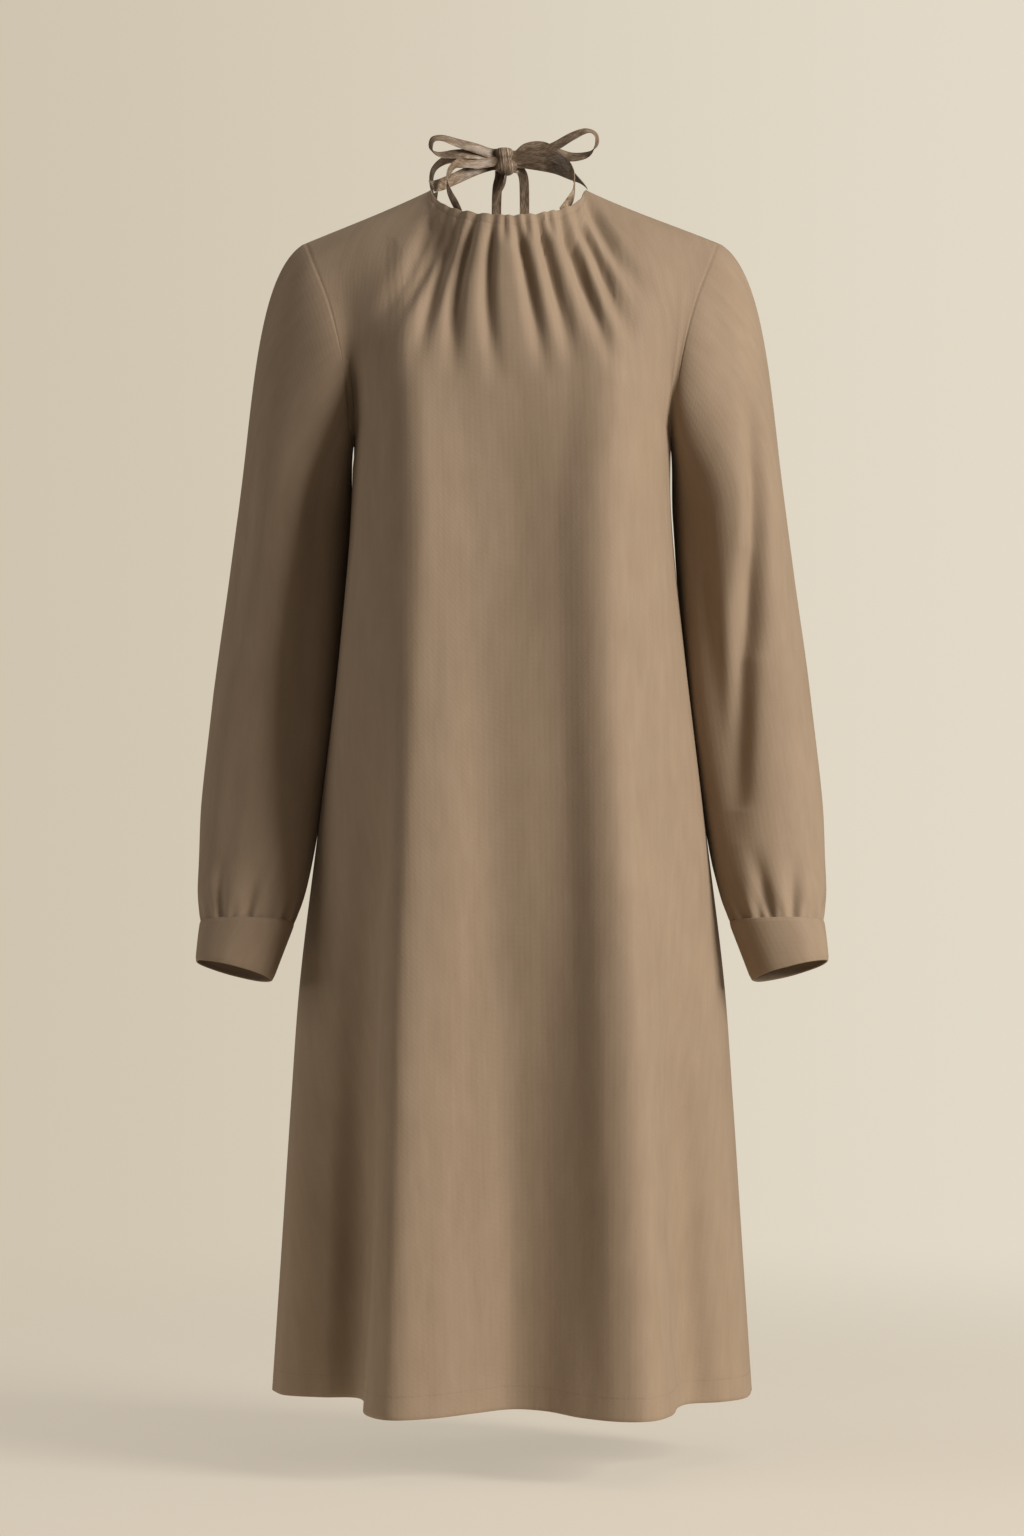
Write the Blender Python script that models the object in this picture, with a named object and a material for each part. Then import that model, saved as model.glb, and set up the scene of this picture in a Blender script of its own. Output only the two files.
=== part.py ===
# A long-sleeved A-line dress, hung as if worn, with its round neckline drawn up in gathers
# and a ribbon tied in a bow at the nape. Metres, +Z up, the front faces -Y.
# The origin is the middle of the neck opening, level with the tops of the shoulder seams.
# Left and right are the wearer's: left is +X, which a viewer of the front sees on the right.
import math
from collections import namedtuple

import bmesh
import bpy
from mathutils import Vector

# Driving sizes
CLOTH = 0.0018
SEAM_GAP = 0.0003
NECK_HALF_WIDTH = 0.0735
NECK_FRONT = 0.080
NECK_BACK = 0.088
NECK_CORNER_Z = 0.002
NECK_FRONT_SLOPE = 0.39
NECK_BACK_DROP = 0.078
SHOULDER_TIP = Vector((0.190, 0.0, -0.047))
SHOULDER_DIP = 0.002
CHEST_Z = -0.340
HEM_Z = -1.108
RIBBON_THICK = 0.0010

# Shares of the front's or back's half width at which its top edge changes
NECK_SHARE = 0.50
TIP_SHARE = 0.62

# How square the body's sections are, and how fast the back neckline drops from its corners
SECTION_POWER = 0.87
NECK_BACK_POWER = 0.85

# Where down a panel the gathered yoke ends and the skirt begins
YOKE_SHARE = 0.30

# The cloth's direction is measured over a small step and turns level with a seam near it
DIRECTION_STEP = 0.004
TOP_FADE = 0.06
SEAM_FADE = 0.06
SIDE_FADE_SHARE = 0.86
SHOULDER_LEVEL = 0.3

# Columns of the yoke fan out with the gathers, most at this share of the yoke's height
FAN = 0.12
FAN_FULL = 0.40

# Level sections of the body, from the underarm to the hem
Section = namedtuple("Section", "z half_width front back side_y")
SECTIONS = [
    Section(-0.235, 0.1460, 0.133, 0.101, 0.004),
    Section(-0.284, 0.1465, 0.136, 0.101, 0.004),
    Section(-0.340, 0.1505, 0.137, 0.101, 0.005),
    Section(-0.420, 0.1590, 0.137, 0.103, 0.006),
    Section(-0.480, 0.1660, 0.138, 0.107, 0.008),
    Section(-0.600, 0.1810, 0.144, 0.118, 0.012),
    Section(-0.727, 0.1965, 0.153, 0.132, 0.016),
    Section(-0.840, 0.2050, 0.163, 0.145, 0.020),
    Section(-0.975, 0.2140, 0.177, 0.160, 0.026),
    Section(-1.108, 0.2230, 0.191, 0.176, 0.031),
]

# The hem seen from below, as fractions of its half width, front depth and back depth
Wave = namedtuple("Wave", "share across out")
HEM_FRONT = [
    Wave(-1.00, -1.000, 0.00),
    Wave(-0.93, -0.945, 0.16),
    Wave(-0.80, -0.780, 0.23),
    Wave(-0.69, -0.640, 0.25),
    Wave(-0.62, -0.600, 0.42),
    Wave(-0.54, -0.590, 0.78),
    Wave(-0.45, -0.490, 0.97),
    Wave(-0.30, -0.280, 0.92),
    Wave(-0.14, -0.120, 0.70),
    Wave(0.00, 0.020, 0.64),
    Wave(0.10, 0.125, 0.76),
    Wave(0.20, 0.230, 0.92),
    Wave(0.37, 0.450, 1.00),
    Wave(0.48, 0.575, 0.94),
    Wave(0.56, 0.635, 0.76),
    Wave(0.65, 0.660, 0.50),
    Wave(0.73, 0.720, 0.40),
    Wave(0.84, 0.860, 0.37),
    Wave(0.93, 0.965, 0.24),
    Wave(1.00, 1.000, 0.00),
]
HEM_BACK = [
    Wave(-1.00, -1.000, 0.00),
    Wave(-0.90, -0.930, 0.24),
    Wave(-0.76, -0.790, 0.44),
    Wave(-0.64, -0.650, 0.62),
    Wave(-0.52, -0.560, 0.86),
    Wave(-0.38, -0.400, 1.00),
    Wave(-0.22, -0.210, 0.88),
    Wave(-0.06, -0.060, 0.70),
    Wave(0.08, 0.090, 0.72),
    Wave(0.22, 0.230, 0.90),
    Wave(0.38, 0.410, 0.98),
    Wave(0.54, 0.570, 0.80),
    Wave(0.68, 0.690, 0.56),
    Wave(0.80, 0.820, 0.46),
    Wave(0.91, 0.940, 0.28),
    Wave(1.00, 1.000, 0.00),
]
WAVES_START_Z = -0.30
WAVES_FULL_Z = -1.06

# The armhole seam, round from the shoulder tip by way of the front to the underarm and back
Armhole = namedtuple("Armhole", "turn x y z")
ARMHOLE = [
    Armhole(0, 0.190, 0.000, -0.047),
    Armhole(30, 0.181, -0.033, -0.070),
    Armhole(60, 0.167, -0.056, -0.107),
    Armhole(90, 0.156, -0.067, -0.150),
    Armhole(120, 0.149, -0.061, -0.193),
    Armhole(150, 0.146, -0.034, -0.225),
    Armhole(180, 0.146, 0.004, -0.235),
    Armhole(210, 0.148, 0.040, -0.223),
    Armhole(240, 0.153, 0.060, -0.187),
    Armhole(270, 0.160, 0.063, -0.146),
    Armhole(300, 0.170, 0.053, -0.102),
    Armhole(330, 0.182, 0.032, -0.067),
    Armhole(360, 0.190, 0.000, -0.047),
]

# The way the cloth leaves the top edge, out being to the front or to the back
Leave = namedtuple("Leave", "share across out up")
LEAVE_FRONT = [
    Leave(0.00, 0.00, 0.45, -0.90),
    Leave(0.25, 0.12, 0.55, -0.82),
    Leave(0.50, 0.30, 0.70, -0.62),
    Leave(0.62, -0.36, 0.66, -0.64),
    Leave(0.72, -0.46, 0.38, -0.80),
    Leave(0.82, -0.30, 0.16, -0.94),
    Leave(0.92, -0.08, 0.02, -0.99),
    Leave(1.00, 0.00, 0.00, -1.00),
]
LEAVE_BACK = [
    Leave(0.00, 0.00, 0.22, -0.97),
    Leave(0.25, 0.06, 0.30, -0.95),
    Leave(0.50, 0.20, 0.72, -0.64),
    Leave(0.62, -0.38, 0.64, -0.64),
    Leave(0.72, -0.48, 0.34, -0.80),
    Leave(0.82, -0.28, 0.14, -0.94),
    Leave(0.92, -0.08, 0.02, -0.99),
    Leave(1.00, 0.00, 0.00, -1.00),
]

# Furrows between the gathers of the front, in the plane across the body
Furrow = namedtuple("Furrow", "top_x mid_x mid_z end_x end_z depth width")
FURROWS = [
    Furrow(-0.0670, -0.096, -0.082, -0.142, -0.150, 0.0065, 0.0080),
    Furrow(-0.0570, -0.083, -0.084, -0.120, -0.146, 0.0085, 0.0075),
    Furrow(-0.0460, -0.068, -0.088, -0.092, -0.192, 0.0090, 0.0075),
    Furrow(-0.0310, -0.046, -0.072, -0.051, -0.192, 0.0095, 0.0068),
    Furrow(-0.0160, -0.022, -0.082, -0.010, -0.198, 0.0080, 0.0065),
    Furrow(-0.0070, -0.007, -0.045, -0.007, -0.062, 0.0035, 0.0035),
    Furrow(0.0010, 0.013, -0.082, 0.031, -0.194, 0.0095, 0.0065),
    Furrow(0.0115, 0.014, -0.045, 0.016, -0.060, 0.0035, 0.0035),
    Furrow(0.0220, 0.036, -0.080, 0.058, -0.180, 0.0105, 0.0068),
    Furrow(0.0325, 0.037, -0.042, 0.041, -0.056, 0.0035, 0.0035),
    Furrow(0.0430, 0.063, -0.085, 0.100, -0.184, 0.0110, 0.0072),
    Furrow(0.0550, 0.085, -0.085, 0.114, -0.166, 0.0100, 0.0072),
    Furrow(0.0670, 0.096, -0.066, 0.127, -0.112, 0.0080, 0.0075),
]
FURROW_START = 0.32
FURROW_FULL = 0.22
FURROW_FADE = 0.45
FURROW_TOP_WIDTH = 0.62
FURROW_END_WIDTH = 1.37
FURROW_TOP_ABOVE = 0.004
FURROW_MIDDLE = 0.4
FURROW_STEPS = 12

# Sections of a sleeve, from below the armhole to the cuff seam, and of a cuff
Arm = namedtuple("Arm", "z x y half_width half_depth out_tilt front_tilt")
SLEEVE = [
    Arm(-0.300, 0.2012, 0.018, 0.0530, 0.065, 0, 0),
    Arm(-0.376, 0.2082, 0.027, 0.0550, 0.062, 0, 0),
    Arm(-0.468, 0.2200, 0.031, 0.0567, 0.058, 0, 0),
    Arm(-0.560, 0.2325, 0.024, 0.0560, 0.054, 0, 0),
    Arm(-0.620, 0.2375, 0.008, 0.0525, 0.051, 0, 2),
    Arm(-0.650, 0.2402, -0.005, 0.0494, 0.046, 1, 5),
    Arm(-0.672, 0.2428, -0.017, 0.0438, 0.038, 1, 8),
]
CUFF = [
    Arm(-0.6723, 0.2428, -0.017, 0.0436, 0.0378, 1, 8),
    Arm(-0.6940, 0.2488, -0.022, 0.0400, 0.0350, 8, 10),
    Arm(-0.7165, 0.2545, -0.027, 0.0366, 0.0325, 14, 12),
]
CAP_SHARE = 0.42
CAP_LEAVE = 0.62
CAP_TURNED = 0.55
ARMHOLE_GAP = 0.0004
LeaveArm = namedtuple("LeaveArm", "turn out front up")
LEAVE_ARMHOLE = [
    LeaveArm(0, 0.80, 0.00, -0.60),
    LeaveArm(40, 0.76, 0.20, -0.62),
    LeaveArm(90, 0.56, 0.12, -0.82),
    LeaveArm(130, 0.30, 0.02, -0.95),
    LeaveArm(180, 0.16, 0.00, -0.98),
]

# Long soft troughs of the sleeves: where round the arm in degrees from its outer side by way
# of the front, over which heights, how deep and how wide in degrees
Trough = namedtuple("Trough", "turn end_turn top_z end_z depth width")
TROUGHS_LEFT = [
    Trough(58, 80, -0.16, -0.56, 0.0075, 17),
    Trough(128, 122, -0.24, -0.60, 0.0060, 16),
    Trough(20, 34, -0.30, -0.62, 0.0035, 14),
    Trough(285, 262, -0.18, -0.55, 0.0065, 18),
    Trough(225, 238, -0.28, -0.62, 0.0055, 17),
]
TROUGHS_RIGHT = [
    Trough(122, 116, -0.16, -0.54, 0.0085, 20),
    Trough(36, 28, -0.22, -0.46, 0.0055, 16),
    Trough(66, 60, -0.44, -0.64, 0.0030, 14),
    Trough(278, 296, -0.20, -0.58, 0.0065, 18),
    Trough(232, 222, -0.26, -0.60, 0.0055, 17),
]
TROUGH_POWER = 0.7
CUFF_GATHERS = 12
CUFF_GATHER_DEPTH = 0.0034
CUFF_GATHERS_TOP_Z = -0.615

# Colours and roughness of the two cloths
CREPE = (0.235, 0.152, 0.094)
CREPE_ROUGHNESS = 0.75
RIBBON = (0.150, 0.098, 0.062)
RIBBON_ROUGHNESS = 0.55


def ease(value):
    """A step from 0 to 1 with soft ends."""
    value = min(1.0, max(0.0, value))
    return value * value * (3 - 2 * value)


def smooth_through(rows):
    """A smooth curve through the rows, read by their first column; it gives the others."""
    keys = [row[0] for row in rows]
    values = [Vector(row[1:]) for row in rows]
    last = len(rows) - 1
    slopes = []
    for i in range(len(rows)):
        before, after = max(0, i - 1), min(last, i + 1)
        slopes.append((values[after] - values[before]) / (keys[after] - keys[before]))

    def read(key):
        key = min(keys[-1], max(keys[0], key))
        i = 0
        while i < last - 1 and key > keys[i + 1]:
            i += 1
        span = keys[i + 1] - keys[i]
        t = (key - keys[i]) / span
        return hermite(values[i], slopes[i] * span, values[i + 1], slopes[i + 1] * span, t)

    return read


def hermite(start, leave, end, arrive, t):
    """A point at share t of the cubic that leaves the start and arrives at the end."""
    a = 2 * t ** 3 - 3 * t ** 2 + 1
    b = t ** 3 - 2 * t ** 2 + t
    return start * a + leave * b + end * (1 - a) + arrive * (t ** 3 - t ** 2)


def falling(rows):
    """The rows with z made positive and rising, so that they can be read by depth."""
    return smooth_through([(-row[0],) + tuple(row[1:]) for row in rows])


section_at = falling(SECTIONS)
armhole_at = smooth_through(ARMHOLE)
leave_armhole_at = smooth_through(LEAVE_ARMHOLE)
sleeve_at = falling(SLEEVE)
cuff_at = falling(CUFF)


def neck_edge(share, side):
    """The neckline, from the middle (0) to the corner at the shoulder seam (1)."""
    angle = share * math.pi / 2
    x = NECK_HALF_WIDTH * math.sin(angle)
    if side < 0:
        y = -NECK_FRONT * math.cos(angle)
        return Vector((x, y, NECK_CORNER_Z + NECK_FRONT_SLOPE * y))
    drop = NECK_BACK_DROP * math.cos(angle) ** NECK_BACK_POWER
    return Vector((x, NECK_BACK * math.cos(angle), NECK_CORNER_Z - drop))


def armhole_edge(turn):
    """The armhole seam on the +X side."""
    return Vector(armhole_at(turn % 360))


def top_edge(share, side):
    """The top edge of a panel: neckline, shoulder seam, armhole seam, on the +X half."""
    if share <= NECK_SHARE:
        return neck_edge(share / NECK_SHARE, side)
    if share <= TIP_SHARE:
        along = (share - NECK_SHARE) / (TIP_SHARE - NECK_SHARE)
        corner = Vector((NECK_HALF_WIDTH, 0.0, NECK_CORNER_Z))
        point = corner.lerp(SHOULDER_TIP, along)
        point.z -= SHOULDER_DIP * math.sin(math.pi * along) * (1 - along)
        return point
    turn = 180 * (share - TIP_SHARE) / (1 - TIP_SHARE)
    return armhole_edge(turn if side < 0 else 360 - turn)


def skirt_point(share, z, side, hem_at):
    """A level line of the panel, whose hem waves grow from nothing to full."""
    half_width, front, back, side_y = section_at(-z)
    out = front if side < 0 else back
    angle = share * math.pi / 2
    across = math.copysign(abs(math.sin(angle)) ** SECTION_POWER, share)
    forward = max(0.0, math.cos(angle)) ** SECTION_POWER
    waved = ease((WAVES_START_Z - z) / (WAVES_START_Z - WAVES_FULL_Z))
    wave = hem_at(share)
    across += (wave[0] - across) * waved
    forward += (wave[1] - forward) * waved
    return Vector((half_width * across, side_y + (side * out - side_y) * forward, z))


class Panel:
    """The front or the back as a surface: share runs across, fall from the top edge down."""

    def __init__(self, side, leave_rows, hem_rows):
        self.side = side
        self.leave_at = smooth_through(leave_rows)
        self.hem_at = smooth_through(hem_rows)

    def point(self, share, fall):
        if fall > YOKE_SHARE:
            z = CHEST_Z + (HEM_Z - CHEST_Z) * (fall - YOKE_SHARE) / (1 - YOKE_SHARE)
            return skirt_point(share, z, self.side, self.hem_at)
        start = top_edge(abs(share), self.side)
        across, out, up = self.leave_at(abs(share))
        leave = Vector((across, self.side * out, up))
        if share < 0:
            start.x = -start.x
            leave.x = -leave.x
        end = skirt_point(share, CHEST_Z, self.side, self.hem_at)
        below = skirt_point(share, CHEST_Z - 0.01, self.side, self.hem_at)
        length = (end - start).length
        arrive = (below - end).normalized() * length
        return hermite(start, leave * length, end, arrive, fall / YOKE_SHARE)

    def outward(self, share, fall):
        """The cloth's outward direction, level with the seams where it meets them."""
        left, right = max(-1.0, share - DIRECTION_STEP), min(1.0, share + DIRECTION_STEP)
        upper, lower = max(0.0, fall - DIRECTION_STEP), min(1.0, fall + DIRECTION_STEP)
        along = self.point(right, fall) - self.point(left, fall)
        down = self.point(share, lower) - self.point(share, upper)
        normal = along.cross(down).normalized() * self.side
        at_top = 1 - ease(fall / TOP_FADE)
        if abs(share) > TIP_SHARE:
            turn = 180 * (abs(share) - TIP_SHARE) / (1 - TIP_SHARE)
            seam = armhole_wall(turn if self.side < 0 else 360 - turn, 1)
            seam.x = math.copysign(seam.x, share)
            normal = normal.lerp(seam, at_top)
            normal.y *= 1 - ease((abs(share) - SIDE_FADE_SHARE) / (1 - SIDE_FADE_SHARE))
        else:
            normal.y *= 1 - at_top * ease((abs(share) - NECK_SHARE) / SEAM_FADE + 1)
        return normal.normalized()


def armhole_wall(turn, way):
    """The outward direction at the armhole seam, of the body (way 1) or the sleeve (-1)."""
    angle = math.radians(turn)
    under = ease((180 - abs(turn % 360 - 180)) / 90 - 1)
    across = SHOULDER_LEVEL + (way - SHOULDER_LEVEL) * under
    return Vector((across, -math.sin(angle), max(0.0, math.cos(angle)))).normalized()


front = Panel(-1, LEAVE_FRONT, HEM_FRONT)
back = Panel(1, LEAVE_BACK, HEM_BACK)


def furrow_line(furrow):
    """The points down the middle of a furrow, as pairs of x and z."""
    top_z = NECK_CORNER_Z + NECK_FRONT_SLOPE * -NECK_FRONT * math.sqrt(
        max(0.0, 1 - (furrow.top_x / NECK_HALF_WIDTH) ** 2))
    read = smooth_through([
        (0.0, furrow.top_x, top_z + FURROW_TOP_ABOVE),
        (FURROW_MIDDLE, furrow.mid_x, furrow.mid_z),
        (1.0, furrow.end_x, furrow.end_z),
    ])
    return [read(i / FURROW_STEPS) for i in range(FURROW_STEPS + 1)]


FURROW_LINES = [furrow_line(furrow) for furrow in FURROWS]


def furrow_depth(x, z):
    """How far the gathers push the front in at a place, all furrows taken together."""
    place = Vector((x, z))
    depth = 0.0
    for furrow, line in zip(FURROWS, FURROW_LINES):
        nearest, along = None, 0.0
        for i in range(len(line) - 1):
            run = line[i + 1] - line[i]
            t = min(1.0, max(0.0, (place - line[i]).dot(run) / run.length_squared))
            distance = (place - line[i] - run * t).length
            if nearest is None or distance < nearest:
                nearest, along = distance, (i + t) / (len(line) - 1)
        strength = FURROW_START + (1 - FURROW_START) * ease(along / FURROW_FULL)
        strength *= 1 - ease((along - FURROW_FADE) / (1 - FURROW_FADE))
        width = furrow.width * (FURROW_TOP_WIDTH + (FURROW_END_WIDTH - FURROW_TOP_WIDTH) * along)
        depth += furrow.depth * strength * math.exp(-(nearest / width) ** 2)
    return depth


def gathered(share, fall):
    """The gathered front: its plain surface pushed in at the furrows."""
    point = front.point(share, fall)
    outward = front.outward(share, fall)
    if fall < YOKE_SHARE:
        point = point - outward * furrow_depth(point.x, point.z)
    return point, outward


def plain_back(share, fall):
    return back.point(share, fall), back.outward(share, fall)


def fanned(share, fall):
    """Where a column of the yoke runs at a fall, spread out as the gathers spread."""
    if fall >= YOKE_SHARE:
        return share
    down = fall / YOKE_SHARE
    spread_here = ease(down / FAN_FULL) * (1 - ease((down - FAN_FULL) / (1 - FAN_FULL)))
    return share + FAN * spread_here * math.sin(math.pi * share)


def new_object(name, mesh, colour, roughness):
    """One named piece with its own finish."""
    piece = bpy.data.objects.new(name, mesh)
    finish = bpy.data.materials.new(name)
    finish.use_nodes = True
    shader = finish.node_tree.nodes["Principled BSDF"]
    shader.inputs["Base Color"].default_value = (*colour, 1.0)
    shader.inputs["Roughness"].default_value = roughness
    shader.inputs["Metallic"].default_value = 0.0
    mesh.materials.append(finish)
    dress.objects.link(piece)
    return piece


def stitch(faces, upper, lower, upper_shares, lower_shares):
    """Triangles between two rows of points that may differ in number."""
    i = j = 0
    while i < len(upper) - 1 or j < len(lower) - 1:
        take_upper = j == len(lower) - 1
        if not take_upper and i < len(upper) - 1:
            take_upper = upper_shares[i + 1] <= lower_shares[j + 1]
        if take_upper:
            faces.append((upper[i], lower[j], upper[i + 1]))
            i += 1
        else:
            faces.append((upper[i], lower[j], lower[j + 1]))
            j += 1


def wall(name, rows, closed):
    """A closed wall from rows of (share, outer point, inward vector), top row first."""
    mesh = bpy.data.meshes.new(name)
    shaper = bmesh.new()
    shares, outer, inner = [], [], []
    for row in rows:
        shares.append([share for share, point, inward in row])
        outer.append([shaper.verts.new(point) for share, point, inward in row])
        inner.append([shaper.verts.new(point + inward) for share, point, inward in row])
        if closed:
            outer[-1].append(outer[-1][0])
            inner[-1].append(inner[-1][0])
            shares[-1].append(shares[-1][0] + 1.0)
    faces = []
    for i in range(len(rows) - 1):
        stitch(faces, outer[i], outer[i + 1], shares[i], shares[i + 1])
        stitch(faces, inner[i + 1], inner[i], shares[i + 1], shares[i])
    stitch(faces, inner[0], outer[0], shares[0], shares[0])
    stitch(faces, outer[-1], inner[-1], shares[-1], shares[-1])
    if not closed:
        falls = list(range(len(rows)))
        for end in (0, -1):
            outer_end = [row[end] for row in outer]
            inner_end = [row[end] for row in inner]
            if end == 0:
                outer_end, inner_end = inner_end, outer_end
            stitch(faces, outer_end, inner_end, falls, falls)
    for face in faces:
        shaper.faces.new(face)
    bmesh.ops.recalc_face_normals(shaper, faces=shaper.faces)
    shaper.to_mesh(mesh)
    shaper.free()
    mesh.shade_smooth()
    return new_object(name, mesh, CREPE, CREPE_ROUGHNESS)


def spread(parts):
    """Shares across a panel from (end, count) stretches, mirrored about the middle."""
    half = [0.0]
    for end, count in parts:
        start = half[-1]
        half += [start + (end - start) * (i + 1) / count for i in range(count)]
    return [-share for share in reversed(half[1:])] + half


def seam_moved(point, share, fall, side):
    """The panel's edge drawn back by half a gap at the shoulder and side seams."""
    on_shoulder = fall == 0 and NECK_SHARE <= abs(share) <= TIP_SHARE
    if on_shoulder or abs(share) == 1.0:
        point = point + Vector((0.0, side * SEAM_GAP / 2, 0.0))
    return point


def build_panel(name, surface, side, yoke_falls, skirt_falls, many, few, many_until):
    """A panel with many columns down to a fall and fewer below it."""
    rows = []
    for fall in yoke_falls + skirt_falls:
        row = []
        for share in many if fall <= many_until else few:
            point, outward = surface(fanned(share, fall), fall)
            row.append((share, seam_moved(point, share, fall, side), outward * -CLOTH))
        rows.append(row)
    return wall(name, rows, closed=False)


def trough_depth(turn, z, troughs):
    """How far the long folds push a sleeve in at a place."""
    depth = 0.0
    for trough in troughs:
        along = (trough.top_z - z) / (trough.top_z - trough.end_z)
        if not 0.0 < along < 1.0:
            continue
        middle = trough.turn + (trough.end_turn - trough.turn) * along
        off = (turn - middle + 180) % 360 - 180
        strength = math.sin(math.pi * along) ** TROUGH_POWER
        depth += trough.depth * strength * math.exp(-(off / trough.width) ** 2)
    return depth


def ring_point(section, turn):
    """A point of a sleeve or cuff section, and the outward direction in its plane."""
    x, y, half_width, half_depth, out_tilt, front_tilt = section[1]
    angle = math.radians(turn)
    out_tilt, front_tilt = math.radians(out_tilt), math.radians(front_tilt)
    across = Vector((math.cos(out_tilt), 0.0, math.sin(out_tilt)))
    forward = Vector((0.0, -math.cos(front_tilt), math.sin(front_tilt)))
    centre = Vector((x, y, section[0]))
    point = centre + across * half_width * math.cos(angle) + forward * half_depth * math.sin(angle)
    outward = across * half_depth * math.cos(angle) + forward * half_width * math.sin(angle)
    return point, outward.normalized()


def arm_point(turn, fall, troughs):
    """A point of the +X sleeve: turn goes round it, fall from the armhole to the cuff."""
    if fall >= CAP_SHARE:
        z = SLEEVE[0].z + (SLEEVE[-1].z - SLEEVE[0].z) * (fall - CAP_SHARE) / (1 - CAP_SHARE)
        point, outward = ring_point((z, sleeve_at(-z)), turn)
    else:
        start = armhole_edge(turn) + Vector((ARMHOLE_GAP, 0.0, 0.0))
        end, outward = ring_point((SLEEVE[0].z, sleeve_at(-SLEEVE[0].z)), turn)
        lower, outward_below = ring_point((SLEEVE[0].z - 0.01, sleeve_at(0.01 - SLEEVE[0].z)), turn)
        length = (end - start).length
        turned = min(turn % 360, 360 - turn % 360)
        out, front_way, up = leave_armhole_at(turned)
        front_way = -front_way if turn % 360 <= 180 else front_way
        leave = Vector((out, front_way, up)) * length * CAP_LEAVE
        arrive = (lower - end).normalized() * length
        t = fall / CAP_SHARE
        point = hermite(start, leave, end, arrive, t)
        outward = armhole_wall(turn, -1).lerp(outward, ease(t / CAP_TURNED)).normalized()
    depth = trough_depth(turn, point.z, troughs)
    low = ease((CUFF_GATHERS_TOP_Z - point.z) / (CUFF_GATHERS_TOP_Z - SLEEVE[-1].z))
    ripple = 0.5 - 0.5 * math.cos(math.radians(turn) * CUFF_GATHERS)
    depth += low * CUFF_GATHER_DEPTH * ripple * (0.8 + 0.2 * math.sin(3 * math.radians(turn)))
    return point - outward * depth, outward


def build_sleeve(name, way, troughs):
    """A sleeve from the armhole to the cuff seam; way is 1 on the left and -1 on the right."""
    falls = [0, 0.03, 0.07, 0.12, 0.18, 0.25, 0.33, 0.42, 0.50, 0.58, 0.66, 0.74, 0.82]
    gathered_falls = [0.86, 0.90, 0.935, 0.97, 1.0]
    rows = []
    for fall in falls + gathered_falls:
        count = 24 if fall in falls else 4 * CUFF_GATHERS
        row = []
        for i in range(count):
            point, outward = arm_point(360 * i / count, fall, troughs)
            row.append(mirrored(i / count, point, outward * -CLOTH, way))
        rows.append(row)
    return wall(name, rows, closed=True)


def build_cuff(name, way):
    """A cuff: a plain ring below the sleeve, leaning out and forward with it."""
    count = 28
    rows = []
    for step in range(3):
        z = CUFF[0].z + (CUFF[-1].z - CUFF[0].z) * step / 2
        row = []
        for i in range(count):
            point, outward = ring_point((z, cuff_at(-z)), 360 * i / count)
            row.append(mirrored(i / count, point, outward * -CLOTH, way))
        rows.append(row)
    return wall(name, rows, closed=True)


def mirrored(share, point, inward, way):
    flip = Vector((way, 1.0, 1.0))
    return share, point * flip, inward * flip


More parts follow.
